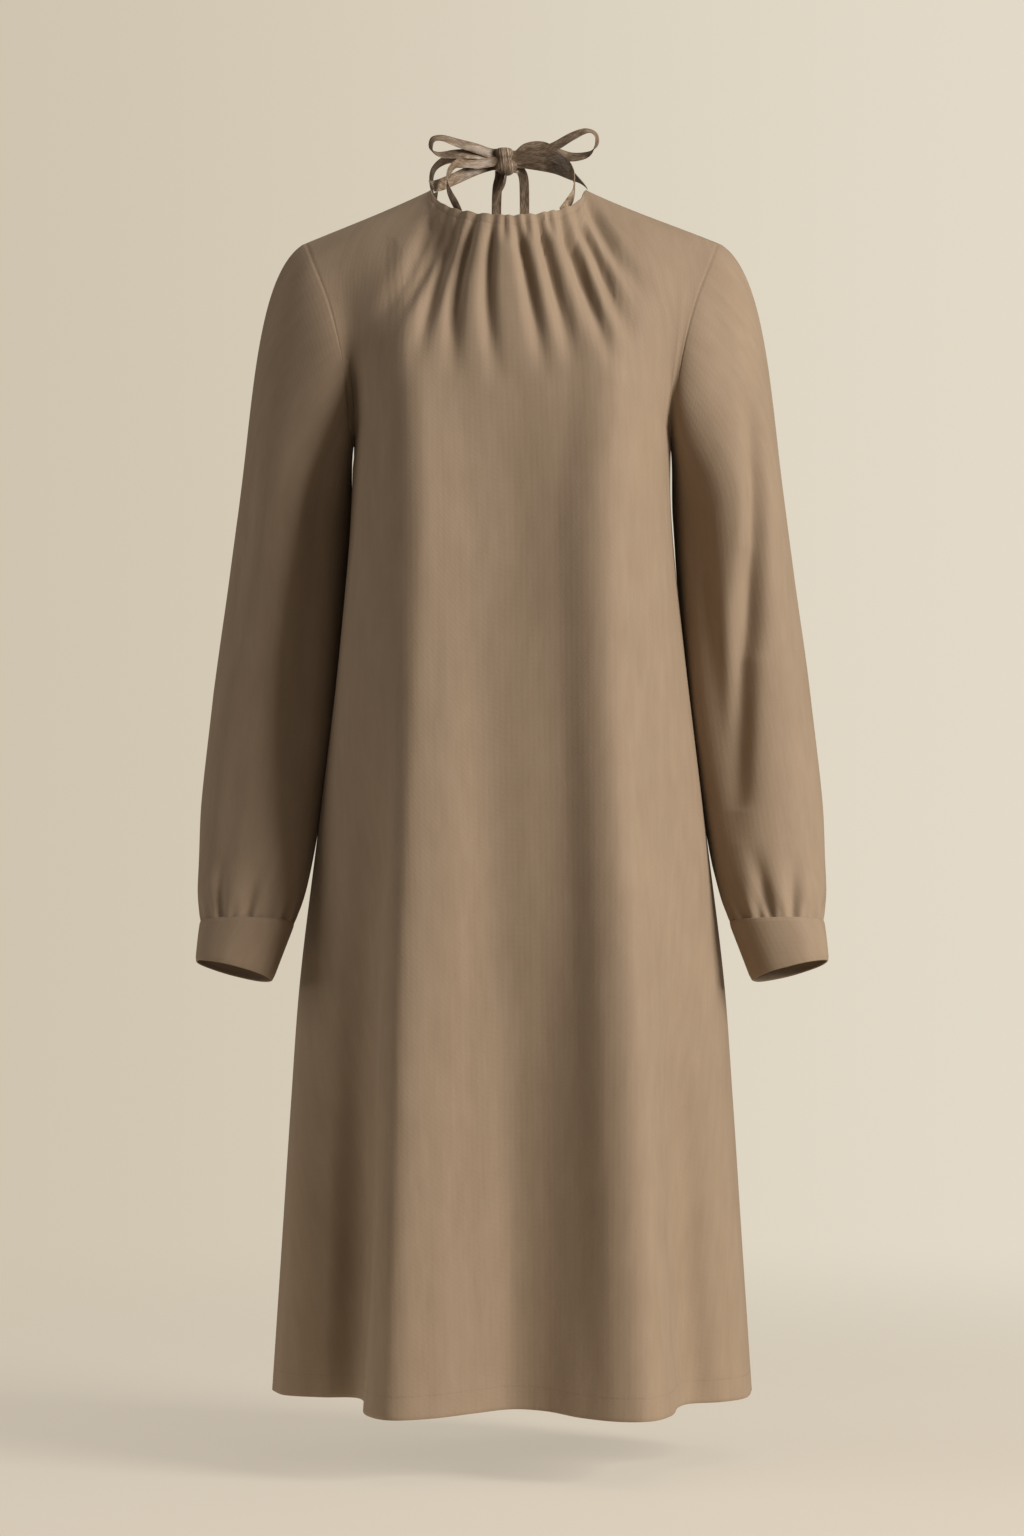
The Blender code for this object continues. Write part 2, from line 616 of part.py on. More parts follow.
# The tie. Each row of a ribbon is a place on its middle line and the way its width runs
KNOT_CENTRE = Vector((-0.0070, 0.0700, 0.0378))
KNOT_SIZE = Vector((0.0164, 0.0170, 0.0230))
KNOT_ROUND = 0.0036
Place = namedtuple("Place", "x y z wide_x wide_y wide_z")
RIBBONS = {
    "neckband_right": (0.0112, [
        Place(-0.0158, 0.0738, 0.0345, 0.00, 0.00, 1.00),
        Place(-0.0200, 0.0738, 0.0344, 0.00, 0.00, 1.00),
        Place(-0.0346, 0.0700, 0.0293, -0.15, 0.00, 1.00),
        Place(-0.0531, 0.0540, 0.0190, -0.30, 0.10, 1.00),
        Place(-0.0655, 0.0330, 0.0125, -0.35, 0.20, 1.00),
        Place(-0.0722, 0.0125, 0.0090, -0.45, 0.20, 0.90),
        Place(-0.0742, 0.0015, 0.0080, -0.50, 0.10, 0.85),
    ]),
    "neckband_left": (0.0112, [
        Place(0.0018, 0.0718, 0.0365, 0.00, 0.00, 1.00),
        Place(0.0060, 0.0718, 0.0364, 0.00, 0.00, 1.00),
        Place(0.0180, 0.0700, 0.0340, 0.05, 0.00, 1.00),
        Place(0.0400, 0.0620, 0.0275, 0.20, 0.05, 1.00),
        Place(0.0560, 0.0450, 0.0190, 0.35, 0.15, 1.00),
        Place(0.0665, 0.0260, 0.0130, 0.45, 0.20, 0.90),
        Place(0.0722, 0.0115, 0.0090, 0.50, 0.20, 0.80),
        Place(0.0742, 0.0015, 0.0080, 0.50, 0.10, 0.85),
    ]),
    "neck_ring_right": (0.0090, [
        Place(-0.0158, 0.0655, 0.0370, 0.00, 0.00, 1.00),
        Place(-0.0200, 0.0652, 0.0370, 0.00, 0.00, 1.00),
        Place(-0.0330, 0.0575, 0.0370, 0.00, 0.00, 1.00),
        Place(-0.0486, 0.0480, 0.0345, 0.00, 0.10, 1.00),
        Place(-0.0577, 0.0320, 0.0236, 0.00, 0.25, 1.00),
        Place(-0.0600, 0.0160, 0.0145, 0.00, 0.35, 1.00),
        Place(-0.0589, -0.0050, 0.0035, 0.00, 0.40, 1.00),
        Place(-0.0550, -0.0270, -0.0078, 0.00, 0.40, 1.00),
        Place(-0.0500, -0.0440, -0.0180, 0.00, 0.40, 1.00),
        Place(-0.0460, -0.0560, -0.0265, 0.00, 0.40, 1.00),
    ]),
    "neck_ring_left": (0.0090, [
        Place(0.0018, 0.0655, 0.0375, 0.00, 0.00, 1.00),
        Place(0.0056, 0.0652, 0.0375, 0.00, 0.00, 1.00),
        Place(0.0200, 0.0600, 0.0385, 0.00, 0.00, 1.00),
        Place(0.0400, 0.0510, 0.0380, 0.00, 0.05, 1.00),
        Place(0.0520, 0.0390, 0.0290, 0.00, 0.20, 1.00),
        Place(0.0570, 0.0220, 0.0184, 0.00, 0.35, 1.00),
        Place(0.0577, 0.0040, 0.0088, 0.00, 0.40, 1.00),
        Place(0.0569, -0.0220, -0.0053, 0.00, 0.40, 1.00),
        Place(0.0511, -0.0430, -0.0170, 0.00, 0.40, 1.00),
        Place(0.0470, -0.0560, -0.0260, 0.00, 0.40, 1.00),
    ]),
    "bow_loop_right": (0.0095, [
        Place(-0.0158, 0.0676, 0.0440, 0.00, 0.00, 1.00),
        Place(-0.0200, 0.0674, 0.0442, 0.00, 0.00, 1.00),
        Place(-0.0330, 0.0600, 0.0478, 0.05, 0.10, 1.00),
        Place(-0.0490, 0.0550, 0.0520, 0.00, 0.40, 0.90),
        Place(-0.0640, 0.0520, 0.0566, -0.20, 0.65, 0.70),
        Place(-0.0730, 0.0520, 0.0560, -0.35, 0.75, 0.50),
        Place(-0.0760, 0.0535, 0.0510, -0.40, 0.80, 0.40),
        Place(-0.0750, 0.0560, 0.0455, -0.35, 0.80, 0.45),
        Place(-0.0670, 0.0585, 0.0415, -0.20, 0.70, 0.60),
        Place(-0.0520, 0.0605, 0.0425, 0.00, 0.35, 0.90),
        Place(-0.0350, 0.0628, 0.0430, 0.05, 0.10, 1.00),
        Place(-0.0200, 0.0694, 0.0420, 0.00, 0.00, 1.00),
        Place(-0.0158, 0.0696, 0.0415, 0.00, 0.00, 1.00),
    ]),
    "bow_loop_left": (0.0095, [
        Place(0.0018, 0.0675, 0.0420, 0.00, 0.00, 1.00),
        Place(0.0056, 0.0673, 0.0420, 0.00, 0.00, 1.00),
        Place(0.0190, 0.0625, 0.0425, -0.20, 0.05, 1.00),
        Place(0.0380, 0.0560, 0.0480, -0.30, 0.25, 0.90),
        Place(0.0560, 0.0500, 0.0575, -0.35, 0.55, 0.80),
        Place(0.0700, 0.0480, 0.0625, -0.20, 0.75, 0.50),
        Place(0.0780, 0.0500, 0.0590, 0.20, 0.80, 0.40),
        Place(0.0785, 0.0530, 0.0500, 0.40, 0.75, 0.40),
        Place(0.0710, 0.0560, 0.0420, 0.20, 0.65, 0.70),
        Place(0.0560, 0.0605, 0.0400, 0.00, 0.40, 0.90),
        Place(0.0420, 0.0640, 0.0440, -0.20, 0.10, 1.00),
        Place(0.0280, 0.0665, 0.0505, -0.15, 0.05, 1.00),
        Place(0.0140, 0.0690, 0.0495, 0.25, 0.00, 1.00),
        Place(0.0056, 0.0696, 0.0430, 0.10, 0.00, 1.00),
        Place(0.0018, 0.0696, 0.0425, 0.00, 0.00, 1.00),
    ]),
    "tail_shoulder": (0.0090, [
        Place(-0.0158, 0.0717, 0.0400, 0.00, 0.00, 1.00),
        Place(-0.0200, 0.0715, 0.0402, 0.00, 0.00, 1.00),
        Place(-0.0330, 0.0662, 0.0410, 0.00, 0.00, 1.00),
        Place(-0.0520, 0.0668, 0.0400, 0.00, 0.15, 1.00),
        Place(-0.0650, 0.0690, 0.0370, -0.30, 0.50, 0.80),
        Place(-0.0740, 0.0720, 0.0290, -0.50, 0.80, 0.30),
        Place(-0.0760, 0.0760, 0.0160, -0.30, 0.90, 0.00),
        Place(-0.0730, 0.0830, 0.0020, 0.10, 0.90, 0.20),
        Place(-0.0690, 0.0930, -0.0220, 0.60, 0.70, 0.30),
        Place(-0.0660, 0.1020, -0.0600, 0.90, -0.35, 0.10),
        Place(-0.0650, 0.1050, -0.1000, 0.93, -0.30, 0.00),
        Place(-0.0650, 0.1055, -0.1400, 0.94, -0.28, 0.00),
    ]),
    "tail_right": (0.0090, [
        Place(-0.0115, 0.0745, 0.0259, 1.00, 0.00, 0.00),
        Place(-0.0117, 0.0747, 0.0225, 1.00, 0.00, 0.00),
        Place(-0.0138, 0.0795, 0.0130, 1.00, 0.00, 0.00),
        Place(-0.0146, 0.0850, -0.0060, 1.00, 0.00, 0.00),
        Place(-0.0145, 0.0900, -0.0400, 1.00, 0.00, 0.00),
        Place(-0.0142, 0.0960, -0.0800, 1.00, -0.05, 0.00),
        Place(-0.0150, 0.1035, -0.1200, 1.00, -0.05, 0.00),
        Place(-0.0165, 0.1070, -0.1650, 1.00, -0.05, 0.00),
    ]),
    "tail_middle": (0.0090, [
        Place(-0.0060, 0.0680, 0.0259, 0.10, 1.00, 0.00),
        Place(-0.0060, 0.0682, 0.0225, 0.10, 1.00, 0.00),
        Place(-0.0070, 0.0705, 0.0150, 0.10, 1.00, 0.00),
        Place(-0.0105, 0.0730, 0.0060, -0.10, 1.00, 0.00),
        Place(-0.0100, 0.0775, -0.0080, -0.20, 1.00, 0.00),
        Place(-0.0050, 0.0850, -0.0300, 0.50, 0.80, 0.00),
        Place(0.0000, 0.0915, -0.0600, 0.95, 0.20, 0.00),
        Place(0.0000, 0.0965, -0.0850, 1.00, 0.00, 0.00),
        Place(-0.0010, 0.1035, -0.1200, 1.00, 0.00, 0.00),
        Place(-0.0020, 0.1070, -0.1500, 1.00, 0.00, 0.00),
    ]),
    "tail_left": (0.0090, [
        Place(0.0018, 0.0742, 0.0310, 0.00, 0.00, 1.00),
        Place(0.0046, 0.0744, 0.0308, 0.15, 0.00, 1.00),
        Place(0.0085, 0.0765, 0.0280, 0.70, 0.10, 0.70),
        Place(0.0110, 0.0800, 0.0210, 1.00, 0.10, 0.20),
        Place(0.0117, 0.0835, 0.0050, 1.00, 0.00, 0.00),
        Place(0.0118, 0.0885, -0.0300, 1.00, 0.00, 0.00),
        Place(0.0125, 0.0955, -0.0750, 1.00, 0.05, 0.00),
        Place(0.0140, 0.1035, -0.1200, 1.00, 0.05, 0.00),
        Place(0.0160, 0.1070, -0.1800, 1.00, 0.05, 0.00),
    ]),
}
RIBBON_STEPS = 2
RIBBON_EDGE_ANGLE = math.radians(40)


def build_ribbon(name, width, places):
    """A flat ribbon lofted along its places, four corners to a section."""
    read = smooth_through([(i,) + tuple(place) for i, place in enumerate(places)])
    count = (len(places) - 1) * RIBBON_STEPS
    shaper = bmesh.new()
    rings = []
    for i in range(count + 1):
        at = i / RIBBON_STEPS
        value = read(at)
        ahead, behind = read(at + 1 / 16), read(at - 1 / 16)
        run = (Vector(ahead[:3]) - Vector(behind[:3])).normalized()
        wide = Vector(value[3:])
        wide = (wide - run * wide.dot(run)).normalized() * width / 2
        thick = run.cross(wide).normalized() * RIBBON_THICK / 2
        middle = Vector(value[:3])
        corners = (wide + thick, wide - thick, -wide - thick, -wide + thick)
        rings.append([shaper.verts.new(middle + corner) for corner in corners])
    for ring, following in zip(rings, rings[1:]):
        for i in range(4):
            j = (i + 1) % 4
            shaper.faces.new((ring[i], ring[j], following[j], following[i]))
    shaper.faces.new(rings[0])
    shaper.faces.new(rings[-1])
    bmesh.ops.recalc_face_normals(shaper, faces=shaper.faces)
    mesh = bpy.data.meshes.new(name)
    shaper.to_mesh(mesh)
    shaper.free()
    mesh.shade_smooth()
    mesh.set_sharp_from_angle(angle=RIBBON_EDGE_ANGLE)
    return new_object(name, mesh, RIBBON, RIBBON_ROUGHNESS)


def build_knot():
    """The knot that holds the loops, the band and the ends."""
    mesh = bpy.data.meshes.new("bow_knot")
    shaper = bmesh.new()
    bmesh.ops.create_cube(shaper, size=1.0)
    for vert in shaper.verts:
        vert.co = vert.co * KNOT_SIZE + KNOT_CENTRE
    bmesh.ops.bevel(shaper, geom=shaper.edges[:], offset=KNOT_ROUND, segments=3,
                    profile=0.5, affect="EDGES")
    shaper.to_mesh(mesh)
    shaper.free()
    mesh.shade_smooth()
    return new_object("bow_knot", mesh, RIBBON, RIBBON_ROUGHNESS)


for old in list(bpy.data.objects):
    bpy.data.objects.remove(old, do_unlink=True)
dress = bpy.data.collections.new("gathered_neck_dress")
bpy.context.scene.collection.children.link(dress)

yoke_falls = [YOKE_SHARE * t for t in (0, 0.03, 0.07, 0.12, 0.17, 0.23, 0.29, 0.36, 0.44, 0.53)]
low_yoke_falls = [YOKE_SHARE * t for t in (0.64, 0.76, 0.88, 1.0)]
skirt_falls = [YOKE_SHARE + (1 - YOKE_SHARE) * (i + 1) / 12 for i in range(12)]
front_many = spread([(NECK_SHARE, 27), (TIP_SHARE, 3), (1.0, 12)])
front_few = spread([(0.84, 18), (1.0, 4)])
back_many = spread([(NECK_SHARE, 6), (TIP_SHARE, 3), (1.0, 12)])
back_few = spread([(0.84, 9), (1.0, 4)])
build_panel("front", gathered, -1, yoke_falls + low_yoke_falls, skirt_falls,
            front_many, front_few, YOKE_SHARE * 0.53)
build_panel("back", plain_back, 1, yoke_falls[::2] + low_yoke_falls, skirt_falls,
            back_many, back_few, YOKE_SHARE * 0.2)
build_sleeve("sleeve_left", 1, TROUGHS_LEFT)
build_sleeve("sleeve_right", -1, TROUGHS_RIGHT)
build_cuff("cuff_left", 1)
build_cuff("cuff_right", -1)
build_knot()
for ribbon, (ribbon_width, ribbon_places) in RIBBONS.items():
    build_ribbon(ribbon, ribbon_width, ribbon_places)
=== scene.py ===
import math
from collections import namedtuple

import bmesh
import bpy
import numpy as np
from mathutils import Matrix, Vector


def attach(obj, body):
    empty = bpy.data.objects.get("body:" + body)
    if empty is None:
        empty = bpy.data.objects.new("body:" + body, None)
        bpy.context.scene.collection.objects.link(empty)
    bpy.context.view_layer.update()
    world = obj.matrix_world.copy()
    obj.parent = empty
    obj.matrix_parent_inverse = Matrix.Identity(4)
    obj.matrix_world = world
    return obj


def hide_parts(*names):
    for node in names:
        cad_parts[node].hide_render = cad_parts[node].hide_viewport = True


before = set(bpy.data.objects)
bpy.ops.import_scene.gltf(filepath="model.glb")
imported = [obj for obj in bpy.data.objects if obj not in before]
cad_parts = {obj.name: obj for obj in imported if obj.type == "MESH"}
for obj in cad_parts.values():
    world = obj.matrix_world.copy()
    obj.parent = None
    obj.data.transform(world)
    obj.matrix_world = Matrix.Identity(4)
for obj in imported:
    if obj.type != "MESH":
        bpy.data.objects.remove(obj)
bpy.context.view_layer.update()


# Camera
# The dress is seen straight from the front, level with its hips, from far enough away that
# its sides hardly turn in.
CAMERA_AWAY = 4.5
CAMERA_LEVEL = -0.531
CAMERA_LENS = 114.4

camera = bpy.data.objects.new("camera", bpy.data.cameras.new("camera"))
bpy.context.scene.collection.objects.link(camera)
camera.location = (0.0, -CAMERA_AWAY, CAMERA_LEVEL)
camera.rotation_euler = (math.pi / 2, 0.0, 0.0)
camera.data.sensor_width = 36.0
camera.data.lens = CAMERA_LENS
bpy.context.scene.camera = camera


# Crepe
# The dress is sewn from one polyester crepe, woven plain from tightly twisted yarn. It gives
# the eye a matt, slightly pebbled face with a peach-skin bloom and faint upright streaks.
CREPE_COLOUR = "#94806b"
CREPE_DARK = "#8f7b66"
CREPE_LIGHT = "#998570"
THREAD_MM = 0.8
BANDS_PER_UNIT = 20.0
PEBBLE_MM = 1.8
STREAK_MM = (9.0, 48.0)
CLOUD_MM = 34.0


def linear(code):
    """An sRGB hex colour as linear red, green, blue and alpha."""
    parts = [int(code[i:i + 2], 16) / 255 for i in (1, 3, 5)]
    return tuple(p / 12.92 if p <= 0.04045 else ((p + 0.055) / 1.055) ** 2.4 for p in parts) + (1.0,)


def set_inputs(node, values):
    for key, value in values.items():
        node.inputs[key].default_value = value


def add_node(tree, kind, settings=None, values=None, links=None):
    """One node with its settings, its socket values and the sockets that feed it."""
    node = tree.nodes.new(kind)
    for key, value in (settings or {}).items():
        setattr(node, key, value)
    set_inputs(node, values or {})
    for key, source in (links or {}).items():
        tree.links.new(source, node.inputs[key])
    return node


def new_finish(name):
    """A material with its tree, emptied but for the Principled shader."""
    finish = bpy.data.materials.new(name)
    finish.use_nodes = True
    tree = finish.node_tree
    return finish, tree, tree.nodes["Principled BSDF"]


def stretched_noise(tree, place, scale, size_mm, detail):
    """Noise on real coordinates, its grain given in millimetres for each direction."""
    spread = add_node(tree, "ShaderNodeMapping", values={"Scale": scale}, links={"Vector": place})
    return add_node(tree, "ShaderNodeTexNoise", values={"Scale": 1000.0 / size_mm, "Detail": detail,
                    "Roughness": 0.55}, links={"Vector": spread.outputs["Vector"]})


def three_tones(tree, shader, amount, stops):
    """Base colour from dark through middle to light, as the amount passes the three stops."""
    colours = add_node(tree, "ShaderNodeValToRGB", links={"Fac": amount})
    colours.color_ramp.elements.new(0.5)
    for element, (position, code) in zip(colours.color_ramp.elements, stops):
        element.position, element.color = position, linear(code)
    tree.links.new(colours.outputs["Color"], shader.inputs["Base Color"])


crepe, tree, shader = new_finish("polyester_crepe_woven_matt")
place = add_node(tree, "ShaderNodeTexCoord")
threads = place.outputs["UV"]
solid = place.outputs["Object"]
streaks = stretched_noise(tree, threads, (1.0, STREAK_MM[0] / STREAK_MM[1], 1.0), STREAK_MM[0], 3.0)
clouds = stretched_noise(tree, solid, (1.0, 1.0, 0.55), CLOUD_MM, 3.0)
tone = add_node(tree, "ShaderNodeMix", {"data_type": "FLOAT"}, {"Factor": 0.55},
                {"A": clouds.outputs["Fac"], "B": streaks.outputs["Fac"]})
three_tones(tree, shader, tone.outputs["Result"],
            ((0.30, CREPE_DARK), (0.5, CREPE_COLOUR), (0.70, CREPE_LIGHT)))
pebbles = stretched_noise(tree, solid, (1.0, 1.0, 1.0), PEBBLE_MM, 2.0)
# The threads are drawn three times as coarse as they are, so that they show
warp, weft = [add_node(tree, "ShaderNodeTexWave", {"bands_direction": way},
                       {"Scale": 1000.0 / THREAD_MM / BANDS_PER_UNIT, "Distortion": 0.6},
                       {"Vector": threads}) for way in "XY"]
weave = add_node(tree, "ShaderNodeMath", {"operation": "ADD"},
                 links={0: warp.outputs["Fac"], 1: weft.outputs["Fac"]})
fine = add_node(tree, "ShaderNodeBump", values={"Strength": 0.25, "Distance": 0.00012},
                links={"Height": weave.outputs["Value"]})
coarse = add_node(tree, "ShaderNodeBump", values={"Strength": 0.35, "Distance": 0.00035},
                  links={"Height": pebbles.outputs["Fac"], "Normal": fine.outputs["Normal"]})
tree.links.new(coarse.outputs["Normal"], shader.inputs["Normal"])
set_inputs(shader, {"Roughness": 0.82, "Specular IOR Level": 0.25, "Sheen Weight": 0.22,
                    "Sheen Roughness": 0.45, "Sheen Tint": linear("#d8c8b4")})


# Front
# One A-line panel of crepe, cut wide at the neck and drawn up there on the tie, so that
# gathers fan out over the chest; below them it falls in a few deep soft waves to the hem.
CLOTH = 0.0007
CLOTH_SHARP = 62
SEAM_GAP = 0.0001
NECK_HALF_WIDTH = 0.0715
NECK_MIDDLE_X = -0.0033
NECK_FRONT = 0.080
NECK_BACK = 0.088
NECK_CORNER_Z = 0.002
NECK_FRONT_SLOPE = 0.39
NECK_BACK_DROP = 0.078
SHOULDER_TIP = np.array((0.190, 0.0, -0.047))
SHOULDER_DIP = 0.002
CHEST_Z = -0.340
HEM_Z = -1.108
NECK_SHARE = 0.50
YOKE_SHARE = 0.30
UNDERARM = 0.64
EDGE_POWER = 3.0
CORNER_REACH = 0.22
CORNER_FADE = 0.22
CORNER_STEPS = (-1.0, -0.67, -0.33, 0.0, 0.33, 0.67, 1.0)
DIRECTION_STEP = 0.004
ARRIVE_STEP = 0.01
TOP_FADE = 0.06
SEAM_FADE = 0.06
SIDE_FADE_SHARE = 0.86
SHOULDER_LEVEL = 0.3
FAN = 0.12
FAN_FULL = 0.40
WAVES_START_Z = -0.30
WAVES_FULL_Z = -1.12


def table(columns, *rows):
    """Rows with named columns; those marked mm are written in millimetres, kept in metres."""
    marks = [column.split(":") for column in columns.split()]
    kind = namedtuple("Row", [mark[0] for mark in marks])
    divisors = [1000 if len(mark) > 1 else 1 for mark in marks]
    return [kind(*(value / divisor for value, divisor in zip(row, divisors))) for row in rows]


SECTIONS = table(
    "z:mm half_width:mm front:mm back:mm side_y:mm",
    (-235, 146, 133, 101, 4), (-284, 146.5, 136, 101, 4), (-340, 150.5, 137, 101, 5),
    (-420, 159, 137, 103, 6), (-480, 166, 138, 107, 8), (-600, 181, 144, 118, 12),
    (-727, 196.5, 153, 132, 16), (-840, 205, 163, 145, 20), (-975, 214, 177, 160, 26),
    (-1108, 223, 191, 176, 31),
)
# The body seen from above at the chest, and the hem, as fractions of its half width and depth
LOBE = "share across out"
CHEST_FRONT = table(LOBE,
    (-1, -1, 0), (-0.92, -0.985, 0.22), (-0.82, -0.92, 0.5), (-0.72, -0.815, 0.74),
    (-0.62, -0.7, 0.905), (-0.5, -0.56, 0.99), (-0.38, -0.41, 0.972), (-0.2, -0.2, 0.92),
    (0, 0.015, 0.9), (0.22, 0.25, 0.935), (0.42, 0.47, 0.99), (0.54, 0.6, 0.965),
    (0.65, 0.72, 0.86), (0.75, 0.825, 0.7), (0.84, 0.915, 0.49), (0.92, 0.975, 0.25), (1, 1, 0),
)
WAVE = "share across out lift:mm"
HEM_FRONT = table(WAVE,
    (-1, -1, 0, 0), (-0.93, -0.945, 0.16, 0), (-0.8, -0.78, 0.23, 0), (-0.69, -0.64, 0.25, 0),
    (-0.62, -0.6, 0.42, 0), (-0.54, -0.59, 0.76, 0), (-0.46, -0.5, 0.94, 0),
    (-0.33, -0.33, 0.925, 0.8), (-0.18, -0.15, 0.84, 3.2), (-0.04, 0, 0.785, 5.2),
    (0.09, 0.13, 0.815, 4.2), (0.22, 0.26, 0.91, 1.2), (0.36, 0.42, 0.99, 0),
    (0.48, 0.56, 0.97, 0), (0.56, 0.635, 0.8, 0), (0.64, 0.665, 0.56, 0), (0.73, 0.72, 0.43, 0),
    (0.84, 0.86, 0.37, 0), (0.93, 0.965, 0.24, 0), (1, 1, 0, 0),
)
ARMHOLE = table(
    "turn x:mm y:mm z:mm",
    (0, 190, 0, -47), (30, 181, -33, -70), (60, 167, -56, -107), (90, 156, -67, -150),
    (120, 149, -61, -193), (150, 146, -34, -225), (180, 146, 4, -235), (210, 148, 40, -223),
    (240, 153, 60, -187), (270, 160, 63, -146), (300, 170, 53, -102), (330, 182, 32, -67),
    (360, 190, 0, -47),
)
FLUSH_UNTIL = 110
FLUSH_FADE = 45
LEAVE = "share across out up"
LEAVE_FRONT = table(LEAVE,
    (-0.25, -0.12, 0.6, -0.77), (0, 0, 0.45, -0.9), (0.25, 0.12, 0.6, -0.77),
    (0.5, 0.14, 0.8, -0.52), (0.75, 0.02, 0.9, -0.34), (1, -0.1, 0.9, -0.32),
)
# Furrows between the gathers, each down a curved line from the neckline
FURROWS = table(
    "top_x:mm mid_x:mm mid_z:mm end_x:mm end_z:mm depth:mm width:mm",
    (-67, -96, -82, -142, -150, 6.5, 8), (-57, -83, -84, -120, -146, 8.5, 7.5),
    (-46, -68, -88, -92, -192, 9, 7.5), (-31, -46, -72, -51, -192, 9.5, 6.8),
    (-16, -22, -82, -10, -198, 8, 6.5), (-7, -7, -45, -7, -62, 3.5, 3.5),
    (1, 13, -82, 31, -194, 9.5, 6.5), (11.5, 14, -45, 16, -60, 3.5, 3.5),
    (22, 36, -80, 58, -180, 10.5, 6.8), (32.5, 37, -42, 41, -56, 3.5, 3.5),
    (43, 63, -85, 100, -184, 11, 7.2), (55, 85, -85, 114, -166, 10, 7.2),
    (67, 96, -66, 127, -112, 8, 7.5),
)
FURROW_START = 0.32
FURROW_FULL = 0.22
FURROW_FADE = 0.42
FURROW_ABOVE = 0.12
FURROW_TOP_WIDTH = 0.62
FURROW_END_WIDTH = 1.45
FURROW_TOP_ABOVE = 0.004
FURROW_CLEAR = 0.035
CORNER_SHARE = 0.46


def ease(value):
    """A step from 0 to 1 with soft ends."""
    value = np.clip(value, 0.0, 1.0)
    return value * value * (3 - 2 * value)


def hermite(start, leave, end, arrive, t):
    """A point at share t of the cubic that leaves the start and arrives at the end."""
    a = 2 * t ** 3 - 3 * t ** 2 + 1
    b = t ** 3 - 2 * t ** 2 + t
    return start * a + leave * b + end * (1 - a) + arrive * (t ** 3 - t ** 2)


def smooth_through(rows):
    """A smooth curve through the rows, read by their first column; it gives the others."""
    table = np.array(rows, float)
    keys, values = table[:, 0], table[:, 1:]
    order = np.arange(len(keys))
    before, after = np.maximum(order - 1, 0), np.minimum(order + 1, len(keys) - 1)
    slopes = (values[after] - values[before]) / (keys[after] - keys[before])[:, None]

    def read(key):
        key = np.clip(np.asarray(key, float), keys[0], keys[-1])
        i = np.clip(np.searchsorted(keys, key, side="right") - 1, 0, len(keys) - 2)
        span = (keys[i + 1] - keys[i])[..., None]
        t = (key - keys[i])[..., None] / span
        return hermite(values[i], slopes[i] * span, values[i + 1], slopes[i + 1] * span, t)

    return read


def falling(rows):
    """The rows with z made positive and rising, so that they can be read by depth."""
    return smooth_through([(-row[0],) + tuple(row[1:]) for row in rows])


def hang(start, leave, end, lower, t):
    """Places at t on the way from the start, off in direction leave, to the end and on to lower."""
    length = np.linalg.norm(end - start, axis=-1, keepdims=True)
    return hermite(start, leave * length, end, unit(lower - end) * length, t[..., None])


def point_of(x, y, z):
    """Places from their three coordinates, which may be arrays or numbers."""
    return np.stack(np.broadcast_arrays(x, y, z), axis=-1).astype(float)


def unit(vectors):
    return vectors / np.linalg.norm(vectors, axis=-1, keepdims=True)


section_at = falling(SECTIONS)
armhole_at = smooth_through(ARMHOLE)


def neck_edge(share, side):
    """The neckline, from the middle (0) to the corner at the shoulder seam (1)."""
    angle = np.clip(share, 0.0, 1.0) * math.pi / 2
    x = NECK_HALF_WIDTH * np.sin(angle)
    if side < 0:
        y = -NECK_FRONT * np.cos(angle)
        return point_of(x, y, NECK_CORNER_Z + NECK_FRONT_SLOPE * y)
    return point_of(x, NECK_BACK * np.cos(angle), NECK_CORNER_Z - NECK_BACK_DROP * np.cos(angle))


def shoulder_edge(along):
    """The shoulder seam, from the neckline's corner (0) to the sleeve (1)."""
    along = np.clip(along, 0.0, 1.0)
    corner = np.array((NECK_HALF_WIDTH, 0.0, NECK_CORNER_Z))
    point = corner + (SHOULDER_TIP - corner) * along[..., None]
    point[..., 2] -= SHOULDER_DIP * np.sin(math.pi * along) * (1 - along)
    return point


def top_edge(share, side):
    """The top edge of a panel: half the neckline and the shoulder seam, on the +X half."""
    neck = neck_edge(share / NECK_SHARE, side)
    shoulder = shoulder_edge((share - NECK_SHARE) / (1 - NECK_SHARE))
    return np.where((share <= NECK_SHARE)[..., None], neck, shoulder)


def armhole_turn(t, side):
    """Where round the armhole a place down the yoke's outer edge lies."""
    turn = 180 * np.minimum(1.0, t / UNDERARM)
    return turn if side < 0 else 360 - turn


def outer_edge(t, side):
    """The yoke's outer edge on the +X half: the armhole seam, then the side seam."""
    armhole = armhole_at(armhole_turn(t, side) % 360)
    under_z = armhole_at(180.0)[2]
    z = under_z + (CHEST_Z - under_z) * np.clip((t - UNDERARM) / (1 - UNDERARM), 0.0, 1.0)
    half_width, front_out, back_out, side_y = np.moveaxis(section_at(-z), -1, 0)
    return np.where((t < UNDERARM)[..., None], armhole, point_of(half_width, side_y, z))


def half_turn_of(turn):
    """How far round a place is from the shoulder, either way, in degrees."""
    return 180 - np.abs(turn % 360 - 180)


def armhole_wall(turn, way):
    """The outward direction at the armhole seam, of the body (way 1) or the sleeve (-1)."""
    angle = np.radians(turn)
    under = ease(half_turn_of(turn) / 90 - 1)
    across = SHOULDER_LEVEL + (way - SHOULDER_LEVEL) * under
    return unit(point_of(across, -np.sin(angle), np.maximum(0.0, np.cos(angle))))


def neck_shift(share):
    """How far the neckline sits to the wearer's right, fading out along the shoulder seam."""
    return NECK_MIDDLE_X * (1 - ease((share - NECK_SHARE) / (1 - NECK_SHARE)))


